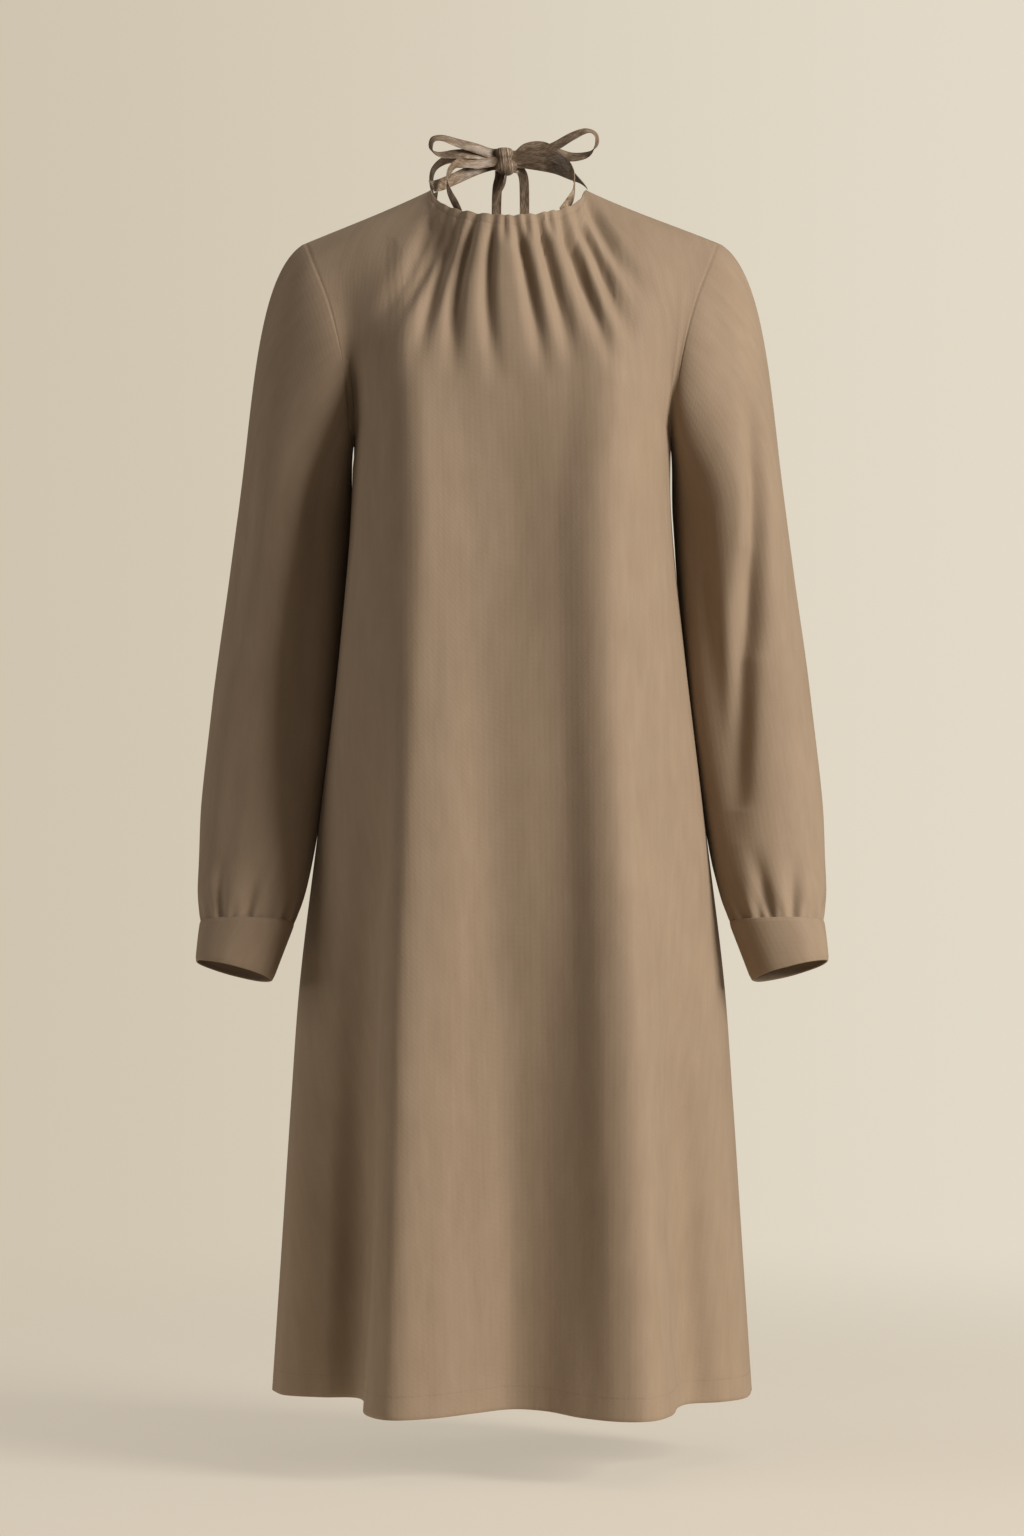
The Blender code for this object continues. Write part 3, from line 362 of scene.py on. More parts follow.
def skirt_point(share, z, side, chest_at, hem_at):
    """A level line of the panel, turning from the chest's form into the hem's waves."""
    half_width, front, back, side_y = np.moveaxis(section_at(-z), -1, 0)
    out = front if side < 0 else back
    waved = ease((WAVES_START_Z - z) / (WAVES_START_Z - WAVES_FULL_Z))
    lobe, wave = chest_at(share), hem_at(share)
    across = lobe[..., 0] + (wave[..., 0] - lobe[..., 0]) * waved
    forward = lobe[..., 1] + (wave[..., 1] - lobe[..., 1]) * waved
    y = side_y + (side * out - side_y) * forward
    return point_of(half_width * across, y, z + wave[..., 2] * waved)


class Panel:
    """The front or the back as a surface: share runs across, fall from the top edge down."""

    def __init__(self, side, leave_rows, chest_rows, hem_rows):
        self.side = side
        self.leave_at = smooth_through(leave_rows)
        self.chest_at = smooth_through(chest_rows)
        self.hem_at = smooth_through(hem_rows)

    def skirt(self, share, z):
        return skirt_point(share, z, self.side, self.chest_at, self.hem_at)

    def eased_edge(self, share, t):
        """The top edge, averaged along itself the further below it the cloth is."""
        reach = np.minimum(CORNER_REACH * ease(t / CORNER_FADE), (1 - share) / 2)
        total = 0
        for step in CORNER_STEPS:
            place = share + reach * step
            point = top_edge(np.abs(place), self.side)
            point[..., 0] = np.copysign(point[..., 0], place)
            total = total + point
        return total / len(CORNER_STEPS)

    def hung(self, share, way, t):
        """The yoke as it would hang from its top edge alone, turned over to the +X half."""
        start = self.eased_edge(share, t)
        across, out, up = np.moveaxis(self.leave_at(share), -1, 0)
        leave = point_of(across, self.side * out, up)
        chest = np.full_like(share, CHEST_Z)
        end = self.skirt(share * way, chest)
        below = self.skirt(share * way, chest - ARRIVE_STEP)
        end[..., 0] *= way
        below[..., 0] *= way
        return hang(start, leave, end, below, t)

    def point(self, share, fall):
        low = np.clip((fall - YOKE_SHARE) / (1 - YOKE_SHARE), 0.0, 1.0)
        skirt = self.skirt(share, CHEST_Z + (HEM_Z - CHEST_Z) * low)
        t = np.clip(fall / YOKE_SHARE, 0.0, 1.0)
        way = np.where(share < 0, -1.0, 1.0)
        yoke = self.hung(np.abs(share), way, t)
        drawn = np.maximum(0.0, np.abs(share) - NECK_SHARE) / (1 - NECK_SHARE)
        edge_shift = outer_edge(t, self.side) - self.hung(np.ones_like(share), np.ones_like(share), t)
        yoke += edge_shift * (drawn ** EDGE_POWER)[..., None]
        yoke[..., 0] = way * yoke[..., 0] + neck_shift(np.abs(share)) * (1 - ease(t))
        return np.where((fall > YOKE_SHARE)[..., None], skirt, yoke)

    def normal(self, share, fall):
        """The direction straight out of the cloth."""
        left, right = np.maximum(-1.0, share - DIRECTION_STEP), np.minimum(1.0, share + DIRECTION_STEP)
        upper, lower = np.maximum(0.0, fall - DIRECTION_STEP), np.minimum(1.0, fall + DIRECTION_STEP)
        along = self.point(right, fall) - self.point(left, fall)
        down = self.point(share, lower) - self.point(share, upper)
        return unit(np.cross(along, down)) * self.side

    def outward(self, share, fall):
        """The way through the wall, turned level with the seams where it meets them."""
        normal = self.normal(share, fall)
        at_shoulder = ease((np.abs(share) - NECK_SHARE) / SEAM_FADE + 1)
        normal[..., 1] *= 1 - (1 - ease(fall / TOP_FADE)) * at_shoulder
        near_edge = ease((np.abs(share) - SIDE_FADE_SHARE) / (1 - SIDE_FADE_SHARE))
        seam = armhole_wall(armhole_turn(fall / YOKE_SHARE, self.side), 1)
        seam[..., 0] = np.copysign(seam[..., 0], share)
        on_armhole = normal + (seam - normal) * near_edge[..., None]
        on_side = normal * point_of(1.0, 1 - near_edge, 1.0)
        return unit(np.where((fall < UNDERARM * YOKE_SHARE)[..., None], on_armhole, on_side))


def fanned(share, fall):
    """Where a column of the yoke runs at a fall, spread out as the gathers spread."""
    down = np.clip(fall / YOKE_SHARE, 0.0, 1.0)
    spread_here = ease(down / FAN_FULL) * (1 - ease((down - FAN_FULL) / (1 - FAN_FULL)))
    return share + FAN * spread_here * np.sin(math.pi * share)


def furrow_depth(x, z):
    """How far the gathers push the front in at a place, all furrows taken together."""
    total = np.zeros(x.shape)
    for furrow in FURROWS:
        level = math.sqrt(max(0.0, 1 - ((furrow.top_x - NECK_MIDDLE_X) / NECK_HALF_WIDTH) ** 2))
        top_z = NECK_CORNER_Z - NECK_FRONT_SLOPE * NECK_FRONT * level + FURROW_TOP_ABOVE
        run = np.array((furrow.end_x - furrow.top_x, furrow.end_z - top_z))
        length = np.hypot(*run)
        way = run / length
        middle = (furrow.mid_x - furrow.top_x, furrow.mid_z - top_z)
        t = (middle[0] * way[0] + middle[1] * way[1]) / length
        bow = (way[0] * middle[1] - way[1] * middle[0]) / (t * (1 - t))
        along = ((x - furrow.top_x) * way[0] + (z - top_z) * way[1]) / length
        inside = np.clip(along, 0.0, 1.0)
        off = way[0] * (z - top_z) - way[1] * (x - furrow.top_x) - bow * inside * (1 - inside)
        strength = FURROW_START + (1 - FURROW_START) * ease(along / FURROW_FULL)
        strength *= 1 - ease((along - FURROW_FADE) / (1 - FURROW_FADE))
        strength *= ease(1 + along / FURROW_ABOVE)
        width = furrow.width * (FURROW_TOP_WIDTH + (FURROW_END_WIDTH - FURROW_TOP_WIDTH) * inside)
        total += furrow.depth * strength * np.exp(-(off / width) ** 2)
    return total


def near_seam(share, fall):
    """1 on the shoulder and armhole seams, 0 clear of them and along most of the neckline."""
    at_shoulder = ease((np.abs(share) - CORNER_SHARE) / SEAM_FADE) * (1 - ease(fall / FURROW_CLEAR))
    at_armhole = ease((np.abs(share) - SIDE_FADE_SHARE) / (1 - SIDE_FADE_SHARE))
    return np.maximum(at_shoulder, at_armhole)


def running_length(points, axis):
    """The length run along a grid's rows or columns, from its first point."""
    steps = np.linalg.norm(np.diff(points, axis=axis), axis=-1)
    first = np.zeros_like(np.take(steps, [0], axis=axis))
    return np.concatenate([first, np.cumsum(steps, axis=axis)], axis=axis)


def new_piece(name, points, faces, uvs, finish, sharp):
    """A smooth-shaded piece with its cut laid out as UV, creased where it turns by sharp degrees."""
    mesh = bpy.data.meshes.new(name)
    mesh.from_pydata(points.reshape(-1, 3).tolist(), [], faces)
    layer = mesh.uv_layers.new(name="cut")
    layer.data.foreach_set("uv", np.array(uvs, np.float32).ravel())
    shaper = bmesh.new()
    shaper.from_mesh(mesh)
    bmesh.ops.recalc_face_normals(shaper, faces=shaper.faces)
    shaper.to_mesh(mesh)
    shaper.free()
    mesh.materials.append(finish)
    mesh.shade_smooth()
    if sharp:
        mesh.set_sharp_from_angle(angle=math.radians(sharp))
    piece = bpy.data.objects.new(name, mesh)
    bpy.context.scene.collection.objects.link(piece)
    return piece


def stand_for(piece, node):
    """Lets a piece ride on the dress's one body in the place of its plain solid."""
    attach(piece, "root")
    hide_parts(node)


def cloth_wall(name, outer, outward, thick, around):
    """A closed thin wall of crepe behind a grid of points, with rounded top and bottom edges."""
    thick = np.broadcast_to(thick, outer.shape[:2])[..., None]
    inner = outer - outward * thick
    count, wide = outer.shape[:2]
    down = unit(outer[-1] - outer[-2]) * thick[-1] / 2
    up = unit(outer[0] - outer[1]) * thick[0] / 2
    rows = np.concatenate([
        outer,
        ((outer[-1] + inner[-1]) / 2 + down)[None],
        inner[::-1],
        ((outer[0] + inner[0]) / 2 + up)[None],
    ])
    closed_grid = np.concatenate([outer, outer[:, :1]], axis=1) if around else outer
    across = running_length(closed_grid, 1)
    across -= across[:, across.shape[1] // 2][:, None]
    fallen = running_length(closed_grid, 0)
    u = np.concatenate([across, across[-1:], across[::-1], across[:1]])
    v = np.concatenate([fallen, fallen[-1:], fallen[::-1], fallen[:1]])
    total = len(rows)
    r = np.arange(total)[:, None]
    c = np.arange(wide if around else wide - 1)[None, :]
    below, beside = (r + 1) % total, (c + 1) % wide
    quads = np.stack([r * wide + c, below * wide + c, below * wide + beside, r * wide + beside], -1)
    uv_rows = np.stack(np.broadcast_arrays(r, below, below, r, c)[:4], -1).reshape(-1)
    uv_cols = np.stack(np.broadcast_arrays(c, c, c + 1, c + 1, r)[:4], -1).reshape(-1)
    faces = quads.reshape(-1, 4).tolist()
    uvs = np.stack([u[uv_rows, uv_cols], -v[uv_rows, uv_cols]], -1).tolist()
    if not around:
        for col, flip in ((0, True), (wide - 1, False)):
            pairs = [(i, total - 2 - i) for i in range(count)]
            for (a, b), (d, e) in zip(pairs, pairs[1:]):
                face = [k * wide + col for k in (a, b, e, d)]
                faces.append(face[::-1] if flip else face)
                uvs += [(u[a, col], -v[a, col])] * 4
            for ends in ((count - 1, count + 1, count), (0, total - 1, total - 2)):
                face = [k * wide + col for k in ends]
                faces.append(face[::-1] if flip else face)
                uvs += [(u[0, col], 0.0)] * 3
    return new_piece(name, rows, faces, uvs, crepe, CLOTH_SHARP)


def spaced(stretches):
    """Values from 0 on, in (end, count) stretches of even steps."""
    values = [0.0]
    for end, count in stretches:
        start = values[-1]
        values += [start + (end - start) * (i + 1) / count for i in range(count)]
    return np.array(values)


def both_ways(half):
    return np.concatenate([-half[:0:-1], half])


def unevenness(a, b, waves):
    """Low swells of cloth: a sum of slanting waves given as (per metre, per metre, phase, height)."""
    total = np.zeros(np.broadcast(a, b).shape)
    for across, down, phase, height in waves:
        total = total + height * np.sin(2 * math.pi * (across * a + down * b) + phase)
    return total


FRONT_COLUMNS = both_ways(spaced([(0.50, 52), (0.985, 48), (1.0, 3)]))
FRONT_ROWS = spaced([(0.0004, 1), (0.192, 109), (0.30, 24), (0.981, 76), (0.9825, 1), (1.0, 6)])
FRONT_SWELLS = [
    (3.1, 1.3, 0.4, 0.0011),
    (-4.3, 2.1, 1.9, 0.0008),
    (6.2, 1.1, 3.3, 0.0006),
    (9.5, -1.7, 5.1, 0.0003),
]
CASING = 0.0085
CASING_GROOVE = 0.0005
GROOVE_WIDTH = 0.0016
PUCKER_DEPTH = 0.0007
PUCKER_FULL = 0.006
PUCKER_FADE = 0.024
PUCKERS = [
    (150.0, 0.4, 0.50),
    (213.0, 2.1, 0.30),
    (97.0, 4.4, 0.40),
]
HEM_ALLOWANCE = 0.020
FOLD_FULL = 0.35
FOLD_FADE = 0.75
FOLD_CLEAR = 0.06
SEAM_DIP = 0.0004
SEAM_ROLL = (0.0030, 0.012)
SWELL_CLEAR = 0.10
NECKLINE_SHARE = 0.455
NECKLINE_FADE = 0.04
STITCH_THICK = 0.00035
STITCH_SUNK = 0.15
STITCH_UNEVEN = 0.18
CASING_STITCH = (0.0026, 0.0021)
HEM_STITCH = (0.0032, 0.0026)
# Soft folds that run on down the front below the gathers, in the plane across the body
FRONT_FOLDS = table(
    "top_x:mm top_z:mm end_x:mm end_z:mm depth:mm width:mm",
    (40, -300, 58, -1160, 6, 24), (-118, -400, -150, -1160, 6, 16),
    (-26, -340, -20, -800, 2.2, 20), (116, -260, 128, -700, 3, 18), (-150, -150, -148, -260, 3, 7),
)


def fold_depth(x, z, folds):
    """How far the long soft folds push the cloth in at a place."""
    total = np.zeros(x.shape)
    for fold in folds:
        along = np.clip((fold.top_z - z) / (fold.top_z - fold.end_z), 0.0, 1.0)
        off = (x - fold.top_x - (fold.end_x - fold.top_x) * along) / fold.width
        strength = ease(along / FOLD_FULL) * (1 - ease((along - FOLD_FADE) / (1 - FOLD_FADE)))
        total += fold.depth * strength * np.exp(-off ** 2)
    return total


def casing_form(surface, x, pucker_depth):
    """The casing's stitched groove below the neckline, and the small puckers drawn up in it."""
    down = running_length(surface, 0)
    groove = CASING_GROOVE * np.exp(-((down - CASING) / GROOVE_WIDTH) ** 2)
    puckers = sum(part * np.sin(per_metre * 2 * math.pi * x + phase)
                  for per_metre, phase, part in PUCKERS)
    fade = ease((down + 0.004) / PUCKER_FULL) * (1 - ease((down - 0.4 * CASING) / PUCKER_FADE))
    return groove + pucker_depth * (0.5 + 0.5 * puckers) * fade


def doubled(surface, top, foot):
    """The cloth's thickness over a grid, doubled along the top edge and the foot."""
    fallen = running_length(surface, 0)
    return np.where((fallen < top) | (fallen > fallen[-1:] - foot), 2 * CLOTH, CLOTH)


def line_across(surface, outward, down):
    """The line a given way down from a grid's top edge, or up from its foot where negative."""
    fallen = running_length(surface, 0)
    line, facing = [], []
    for column in range(surface.shape[1]):
        at = down if down >= 0 else fallen[-1, column] + down
        run = fallen[:, column]
        line.append([np.interp(at, run, surface[:, column, axis]) for axis in range(3)])
        facing.append([np.interp(at, run, outward[:, column, axis]) for axis in range(3)])
    return np.array(line), unit(np.array(facing))


thread, tree, shader = new_finish("polyester_sewing_thread_matt")
set_inputs(shader, {"Base Color": linear("#8b7661"), "Roughness": 0.7})


def stitch_tree():
    """Lays one rounded stitch on every point, turned along the row and out of the cloth."""
    tree = bpy.data.node_groups.new("row_of_stitches", "GeometryNodeTree")
    face = tree.interface
    face.new_socket("Geometry", in_out="INPUT", socket_type="NodeSocketGeometry")
    for name in ("Stitch Length", "Stitch Thickness", "Unevenness"):
        face.new_socket(name, in_out="INPUT", socket_type="NodeSocketFloat")
    face.new_socket("Geometry", in_out="OUTPUT", socket_type="NodeSocketGeometry")

    def step(kind, output, settings=None, values=None, links=None):
        return add_node(tree, kind, settings, values, links).outputs[output]

    given = add_node(tree, "NodeGroupInput").outputs
    along, facing = [step("GeometryNodeInputNamedAttribute", "Attribute", {"data_type": "FLOAT_VECTOR"},
                          {"Name": name}) for name in ("along", "facing")]
    size = step("ShaderNodeCombineXYZ", "Vector", links={
        "X": given["Stitch Length"], "Y": given["Stitch Thickness"], "Z": given["Stitch Thickness"]})
    ball = step("GeometryNodeMeshUVSphere", "Mesh", values={"Segments": 6, "Rings": 4, "Radius": 0.5})
    shaped = step("GeometryNodeTransform", "Geometry", links={"Geometry": ball, "Scale": size})
    run = step("FunctionNodeAlignRotationToVector", "Rotation", {"axis": "X"}, links={"Vector": along})
    out = step("FunctionNodeAlignRotationToVector", "Rotation", {"axis": "Z", "pivot_axis": "X"},
               links={"Rotation": run, "Vector": facing})
    least = step("ShaderNodeMath", "Value", {"operation": "SUBTRACT"}, {0: 1.0},
                 {1: given["Unevenness"]})
    grown = step("FunctionNodeRandomValue", 1, {"data_type": "FLOAT"}, {"Seed": 7, 3: 1.0}, {2: least})
    placed = step("GeometryNodeInstanceOnPoints", "Instances", links={
        "Points": given["Geometry"], "Instance": shaped, "Rotation": out, "Scale": grown})
    real = step("GeometryNodeRealizeInstances", "Geometry", links={"Geometry": placed})
    dressed = step("GeometryNodeSetMaterial", "Geometry", {}, {"Material": thread}, {"Geometry": real})
    add_node(tree, "NodeGroupOutput", links={"Geometry": dressed})
    return tree


row_of_stitches = stitch_tree()


def stitch_row(name, line, facing, pitch, length):
    """A row of machine stitches on the cloth along a line, as one plain mesh."""
    run = np.concatenate([[0.0], np.cumsum(np.linalg.norm(np.diff(line, axis=0), axis=1))])
    at = np.arange(pitch / 2, run[-1], pitch)
    place = np.stack([np.interp(at, run, line[:, axis]) for axis in range(3)], -1)
    out = unit(np.stack([np.interp(at, run, facing[:, axis]) for axis in range(3)], -1))
    mesh = bpy.data.meshes.new(name)
    mesh.from_pydata((place + out * STITCH_THICK * STITCH_SUNK).tolist(), [], [])
    for key, values in (("along", np.gradient(place, axis=0)), ("facing", out)):
        layer = mesh.attributes.new(key, "FLOAT_VECTOR", "POINT")
        layer.data.foreach_set("vector", values.astype(np.float32).ravel())
    piece = bpy.data.objects.new(name, mesh)
    bpy.context.scene.collection.objects.link(piece)
    modifier = piece.modifiers.new("stitches", "NODES")
    modifier.node_group = row_of_stitches
    given = {"Stitch Length": length, "Stitch Thickness": STITCH_THICK, "Unevenness": STITCH_UNEVEN}
    for item in row_of_stitches.interface.items_tree:
        if item.in_out == "INPUT" and item.name in given:
            modifier[item.identifier] = given[item.name]
    ready = piece.evaluated_get(bpy.context.evaluated_depsgraph_get())
    plain = bpy.data.meshes.new_from_object(ready)
    piece.modifiers.remove(modifier)
    piece.data = plain
    plain.shade_smooth()
    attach(piece, "root")
    return piece


def seamed(point, share, fall, side):
    """The panel's edge drawn back by half a gap at the shoulder and side seams."""
    on_shoulder = (fall == 0) & (np.abs(share) >= NECK_SHARE)
    moved = on_shoulder | ((np.abs(share) == 1.0) & (fall > UNDERARM * YOKE_SHARE - 1e-6))
    point[..., 1] += np.where(moved, side * SEAM_GAP / 2, 0.0)
    return point


def sew_panel(node, panel, columns, rows, spread, swells, pucker_depth, gathered):
    """A panel as cloth, rolled in at its seams, with casing and hem doubled and stitched."""
    share, fall = np.meshgrid(columns, rows)
    true_share = spread(share, fall)
    surface = panel.point(true_share, fall)
    outward, normal = panel.outward(true_share, fall), panel.normal(true_share, fall)
    x, z = surface[..., 0], surface[..., 2]
    from_side = 1 - np.abs(share)
    clear = ease(fall / SWELL_CLEAR) * ease(from_side / SWELL_CLEAR)
    pushed_in = gathered(x, z, true_share, fall, from_side) - unevenness(x, z, swells) * clear
    on_neckline = 1 - ease((np.abs(true_share) - NECKLINE_SHARE) / NECKLINE_FADE)
    pushed_in = pushed_in + casing_form(surface, x, pucker_depth) * on_neckline
    from_shoulder = np.where(np.abs(share) > NECK_SHARE, fall, 1.0)
    rolled = np.maximum(1 - ease(from_shoulder / SEAM_ROLL[0]), 1 - ease(from_side / SEAM_ROLL[1]))
    surface = surface - normal * (pushed_in + SEAM_DIP * rolled)[..., None]
    surface = seamed(surface, share, fall, panel.side)
    thickness = doubled(surface, CASING, HEM_ALLOWANCE)
    piece = cloth_wall(node + "_panel", surface, outward, thickness, False)
    stand_for(piece, node)
    neck = np.abs(columns) <= CORNER_SHARE
    neck_line = line_across(surface[:, neck], normal[:, neck], CASING)
    casing = stitch_row(node + "_casing_stitches", *neck_line, *CASING_STITCH)
    hem_line = line_across(surface, outward, -HEM_ALLOWANCE)
    hem = stitch_row(node + "_hem_stitches", *hem_line, *HEM_STITCH)
    return piece, casing, hem


def front_gathers(x, z, share, fall, from_side):
    """The furrows above the chest and the long folds below them."""
    furrows = np.where(fall < YOKE_SHARE, furrow_depth(x, z) * (1 - near_seam(share, fall)), 0.0)
    return furrows + fold_depth(x, z, FRONT_FOLDS) * ease(from_side / FOLD_CLEAR)


front = Panel(-1, LEAVE_FRONT, CHEST_FRONT, HEM_FRONT)
front_piece, front_casing, front_hem = sew_panel(
    "front", front, FRONT_COLUMNS, FRONT_ROWS, fanned, FRONT_SWELLS, PUCKER_DEPTH, front_gathers)


# Back
# One plain A-line panel with a lower, open neckline; it hangs straight from the shoulders and
# waves at the hem as the front does.
CHEST_BACK = table(LOBE,
    (-1, -1, 0), (-0.9, -0.985, 0.22), (-0.78, -0.935, 0.43), (-0.62, -0.82, 0.67),
    (-0.42, -0.61, 0.88), (-0.22, -0.34, 0.985), (0, 0, 0.97), (0.24, 0.36, 0.985),
    (0.44, 0.63, 0.87), (0.62, 0.82, 0.67), (0.78, 0.935, 0.43), (0.9, 0.985, 0.22), (1, 1, 0),
)
HEM_BACK = table(WAVE,
    (-1, -1, 0, 0), (-0.9, -0.93, 0.24, 0), (-0.76, -0.79, 0.44, 1), (-0.64, -0.65, 0.62, 0),
    (-0.52, -0.56, 0.86, 0), (-0.38, -0.4, 1, 0), (-0.22, -0.21, 0.9, 1.5),
    (-0.06, -0.06, 0.76, 4), (0.08, 0.09, 0.77, 3.8), (0.22, 0.23, 0.9, 1.2),
    (0.38, 0.41, 0.98, 0), (0.54, 0.57, 0.82, 0), (0.68, 0.69, 0.58, 1.2), (0.8, 0.82, 0.46, 0.5),
    (0.91, 0.94, 0.28, 0), (1, 1, 0, 0),
)
LEAVE_BACK = table(LEAVE,
    (-0.25, -0.08, 0.38, -0.91), (0, 0, 0.22, -0.97), (0.25, 0.08, 0.38, -0.91),
    (0.5, 0.1, 0.72, -0.62), (0.75, 0.02, 0.88, -0.42), (1, -0.1, 0.9, -0.34),
)
BACK_COLUMNS = both_ways(spaced([(0.50, 36), (0.985, 38), (1.0, 3)]))
BACK_ROWS = spaced([(0.0004, 1), (0.192, 64), (0.30, 22), (0.981, 76), (0.9825, 1), (1.0, 6)])
BACK_SWELLS = [
    (2.6, 1.7, 2.4, 0.0014),
    (-4.9, 1.4, 0.6, 0.0010),
    (7.1, 0.8, 4.2, 0.0006),
    (10.3, 1.9, 1.1, 0.0003),
]
back = Panel(1, LEAVE_BACK, CHEST_BACK, HEM_BACK)
back_piece, back_casing, back_hem = sew_panel(
    "back", back, BACK_COLUMNS, BACK_ROWS, lambda share, fall: share, BACK_SWELLS, 0.0,
    lambda x, z, share, fall, from_side: 0.0)


# Sleeves
# Long set-in sleeves of the same crepe, a little wider than the arm, which blouse slightly
# and are gathered into the cuffs; long folds run down from the armholes.
ARM = "z:mm x:mm y:mm half_width:mm half_depth:mm out_tilt front_tilt"
SLEEVE = table(ARM,
    (-300, 201.2, 18, 53, 65, 0, 0), (-376, 208.2, 27, 55, 62, 0, 0),
    (-468, 220, 31, 56.7, 58, 0, 0), (-560, 232.5, 24, 56, 54, 0, 0),
    (-620, 237.5, 8, 52.5, 51, 0, 2), (-650, 240.2, -5, 49.4, 46, 1, 5),
    (-672, 242.8, -17, 43.8, 38, 1, 8),
)
CAP_SHARE = 0.42
CAP_LEAVE = 0.62
CAP_TURNED = 0.55
ARMHOLE_GAP = 0.0001
LEAVE_ARMHOLE = table(
    "turn out front up",
    (0, 0.8, 0, -0.6), (40, 0.76, 0.2, -0.62), (90, 0.58, 0.04, -0.82), (130, 0.3, 0.02, -0.95),
    (180, 0.16, 0, -0.98),
)
TROUGH = "turn end_turn top_z:mm end_z:mm depth:mm width"
TROUGHS_LEFT = table(TROUGH,
    (46, 84, -180, -430, 11, 11), (76, 118, -330, -570, 10, 12), (128, 122, -240, -600, 6, 16),
    (20, 34, -300, -620, 3.5, 14), (285, 262, -180, -550, 6.5, 18),
    (225, 238, -280, -620, 5.5, 17),
)
TROUGHS_RIGHT = table(TROUGH,
    (122, 116, -160, -540, 8.5, 20), (36, 28, -220, -460, 5.5, 16), (66, 60, -440, -640, 3, 14),
    (278, 296, -200, -580, 6.5, 18), (232, 222, -260, -600, 5.5, 17),
)
TROUGH_POWER = 0.7
# Gathers at the cuff seam: where round the arm, how far up they reach, how deep and wide
GATHER_FULL = 0.75
GATHER_DEEPEST = 0.85
GATHER_EASED = 0.45
GATHER = "turn top_z:mm depth:mm width lean"
GATHERS_LEFT = table(GATHER,
    (12, -640, 3, 7, 2), (37, -628, 3.4, 7, 3), (52, -648, 2.2, 5, 0), (71, -598, 6.2, 7, -6),
    (86, -645, 2, 5, 2), (99, -590, 6.6, 7, 9), (114, -628, 4.2, 6, -3), (135, -622, 4, 8, 4),
    (160, -630, 3.6, 8, -4), (186, -618, 4.4, 8, 3), (208, -640, 3, 6, 0), (229, -604, 5.6, 8, -5),
    (252, -632, 3.4, 6, 3), (273, -600, 5.8, 8, 4), (296, -640, 3, 6, -2), (318, -612, 4.6, 8, 5),
    (342, -634, 3.2, 7, -3),
)
GATHERS_RIGHT = table(GATHER,
    (15, -642, 2.8, 7, -2), (36, -634, 3, 7, 3), (57, -602, 6.2, 7, -4), (74, -645, 2.2, 5, 2),
    (92, -606, 5.8, 7, 5), (107, -640, 2.6, 5, 0), (121, -612, 4.4, 8, -5), (146, -630, 3.6, 8, 3),
    (172, -622, 4.2, 8, -2), (197, -636, 3.2, 7, 4), (219, -606, 5.4, 8, 3),
    (243, -640, 2.8, 6, -3), (262, -598, 6, 8, -5), (286, -630, 3.4, 6, 2), (307, -610, 4.8, 8, 4),
    (333, -636, 3, 7, -2),
)
SLEEVE_ROLL = 0.008
SWELL_BELOW_ARMHOLE = 0.2
SWELL_ABOVE_CUFF = 0.1
SLEEVE_COLUMNS = 150
SLEEVE_ROWS = spaced([(0.0006, 1), (0.012, 5), (0.08, 14), (0.80, 120), (0.9992, 61), (1.0, 1)])
SLEEVE_SWELLS = [
    (1.0, 2.3, 0.5, 0.0010),
    (2.0, -1.9, 2.2, 0.0009),
    (3.0, 3.7, 4.4, 0.0005),
]
leave_armhole_at = smooth_through(LEAVE_ARMHOLE)
sleeve_at = falling(SLEEVE)


def ring_point(z, section, turn):
    """A point of a sleeve or cuff section, and the outward direction in its plane."""
    x, y, half_width, half_depth, out_tilt, front_tilt = np.moveaxis(section, -1, 0)
    angle, out_tilt, front_tilt = np.radians(turn), np.radians(out_tilt), np.radians(front_tilt)
    across = point_of(np.cos(out_tilt), 0.0, np.sin(out_tilt))
    forward = point_of(0.0, -np.cos(front_tilt), np.sin(front_tilt))
    c, s = np.cos(angle)[..., None], np.sin(angle)[..., None]
    half_width, half_depth = half_width[..., None], half_depth[..., None]
    point = point_of(x, y, z) + across * half_width * c + forward * half_depth * s
    return point, unit(across * half_depth * c + forward * half_width * s)


def laid_flush(leave, turn):
    """A sleeve's direction off the armhole seam, turned into the plane of the panel there."""
    half_turn = half_turn_of(turn)
    ends, fall = np.ones_like(half_turn), half_turn / 180 * UNDERARM * YOKE_SHARE
    facing = np.where((turn % 360 <= 180)[..., None], front.normal(ends, fall), back.normal(ends, fall))
    flush = 1 - ease((half_turn - FLUSH_UNTIL) / FLUSH_FADE)
    return leave - facing * ((facing * leave).sum(axis=-1) * flush)[..., None]


def arm_surface(turn, fall):
    """The plain +X sleeve: turn goes round it, fall from the armhole to the cuff."""
    low = np.clip((fall - CAP_SHARE) / (1 - CAP_SHARE), 0.0, 1.0)
    z = SLEEVE[0].z + (SLEEVE[-1].z - SLEEVE[0].z) * low
    straight, outward = ring_point(z, sleeve_at(-z), turn)
    top = np.full_like(fall, SLEEVE[0].z)
    start = armhole_at(turn % 360) + np.array((ARMHOLE_GAP, 0.0, 0.0))
    end, level = ring_point(top, sleeve_at(-top), turn)
    lower = ring_point(top - ARRIVE_STEP, sleeve_at(ARRIVE_STEP - top), turn)[0]
    out, front_way, up = np.moveaxis(leave_armhole_at(half_turn_of(turn)), -1, 0)
    front_way = np.where(turn % 360 <= 180, -front_way, front_way)
    leave = laid_flush(point_of(out, front_way, up), turn) * CAP_LEAVE
    t = np.clip(fall / CAP_SHARE, 0.0, 1.0)
    cap = hang(start, leave, end, lower, t)
    seam = armhole_wall(turn, -1)
    cap_outward = unit(seam + (level - seam) * ease(t / CAP_TURNED)[..., None])
    below = (fall >= CAP_SHARE)[..., None]
    return np.where(below, straight, cap), np.where(below, outward, cap_outward)


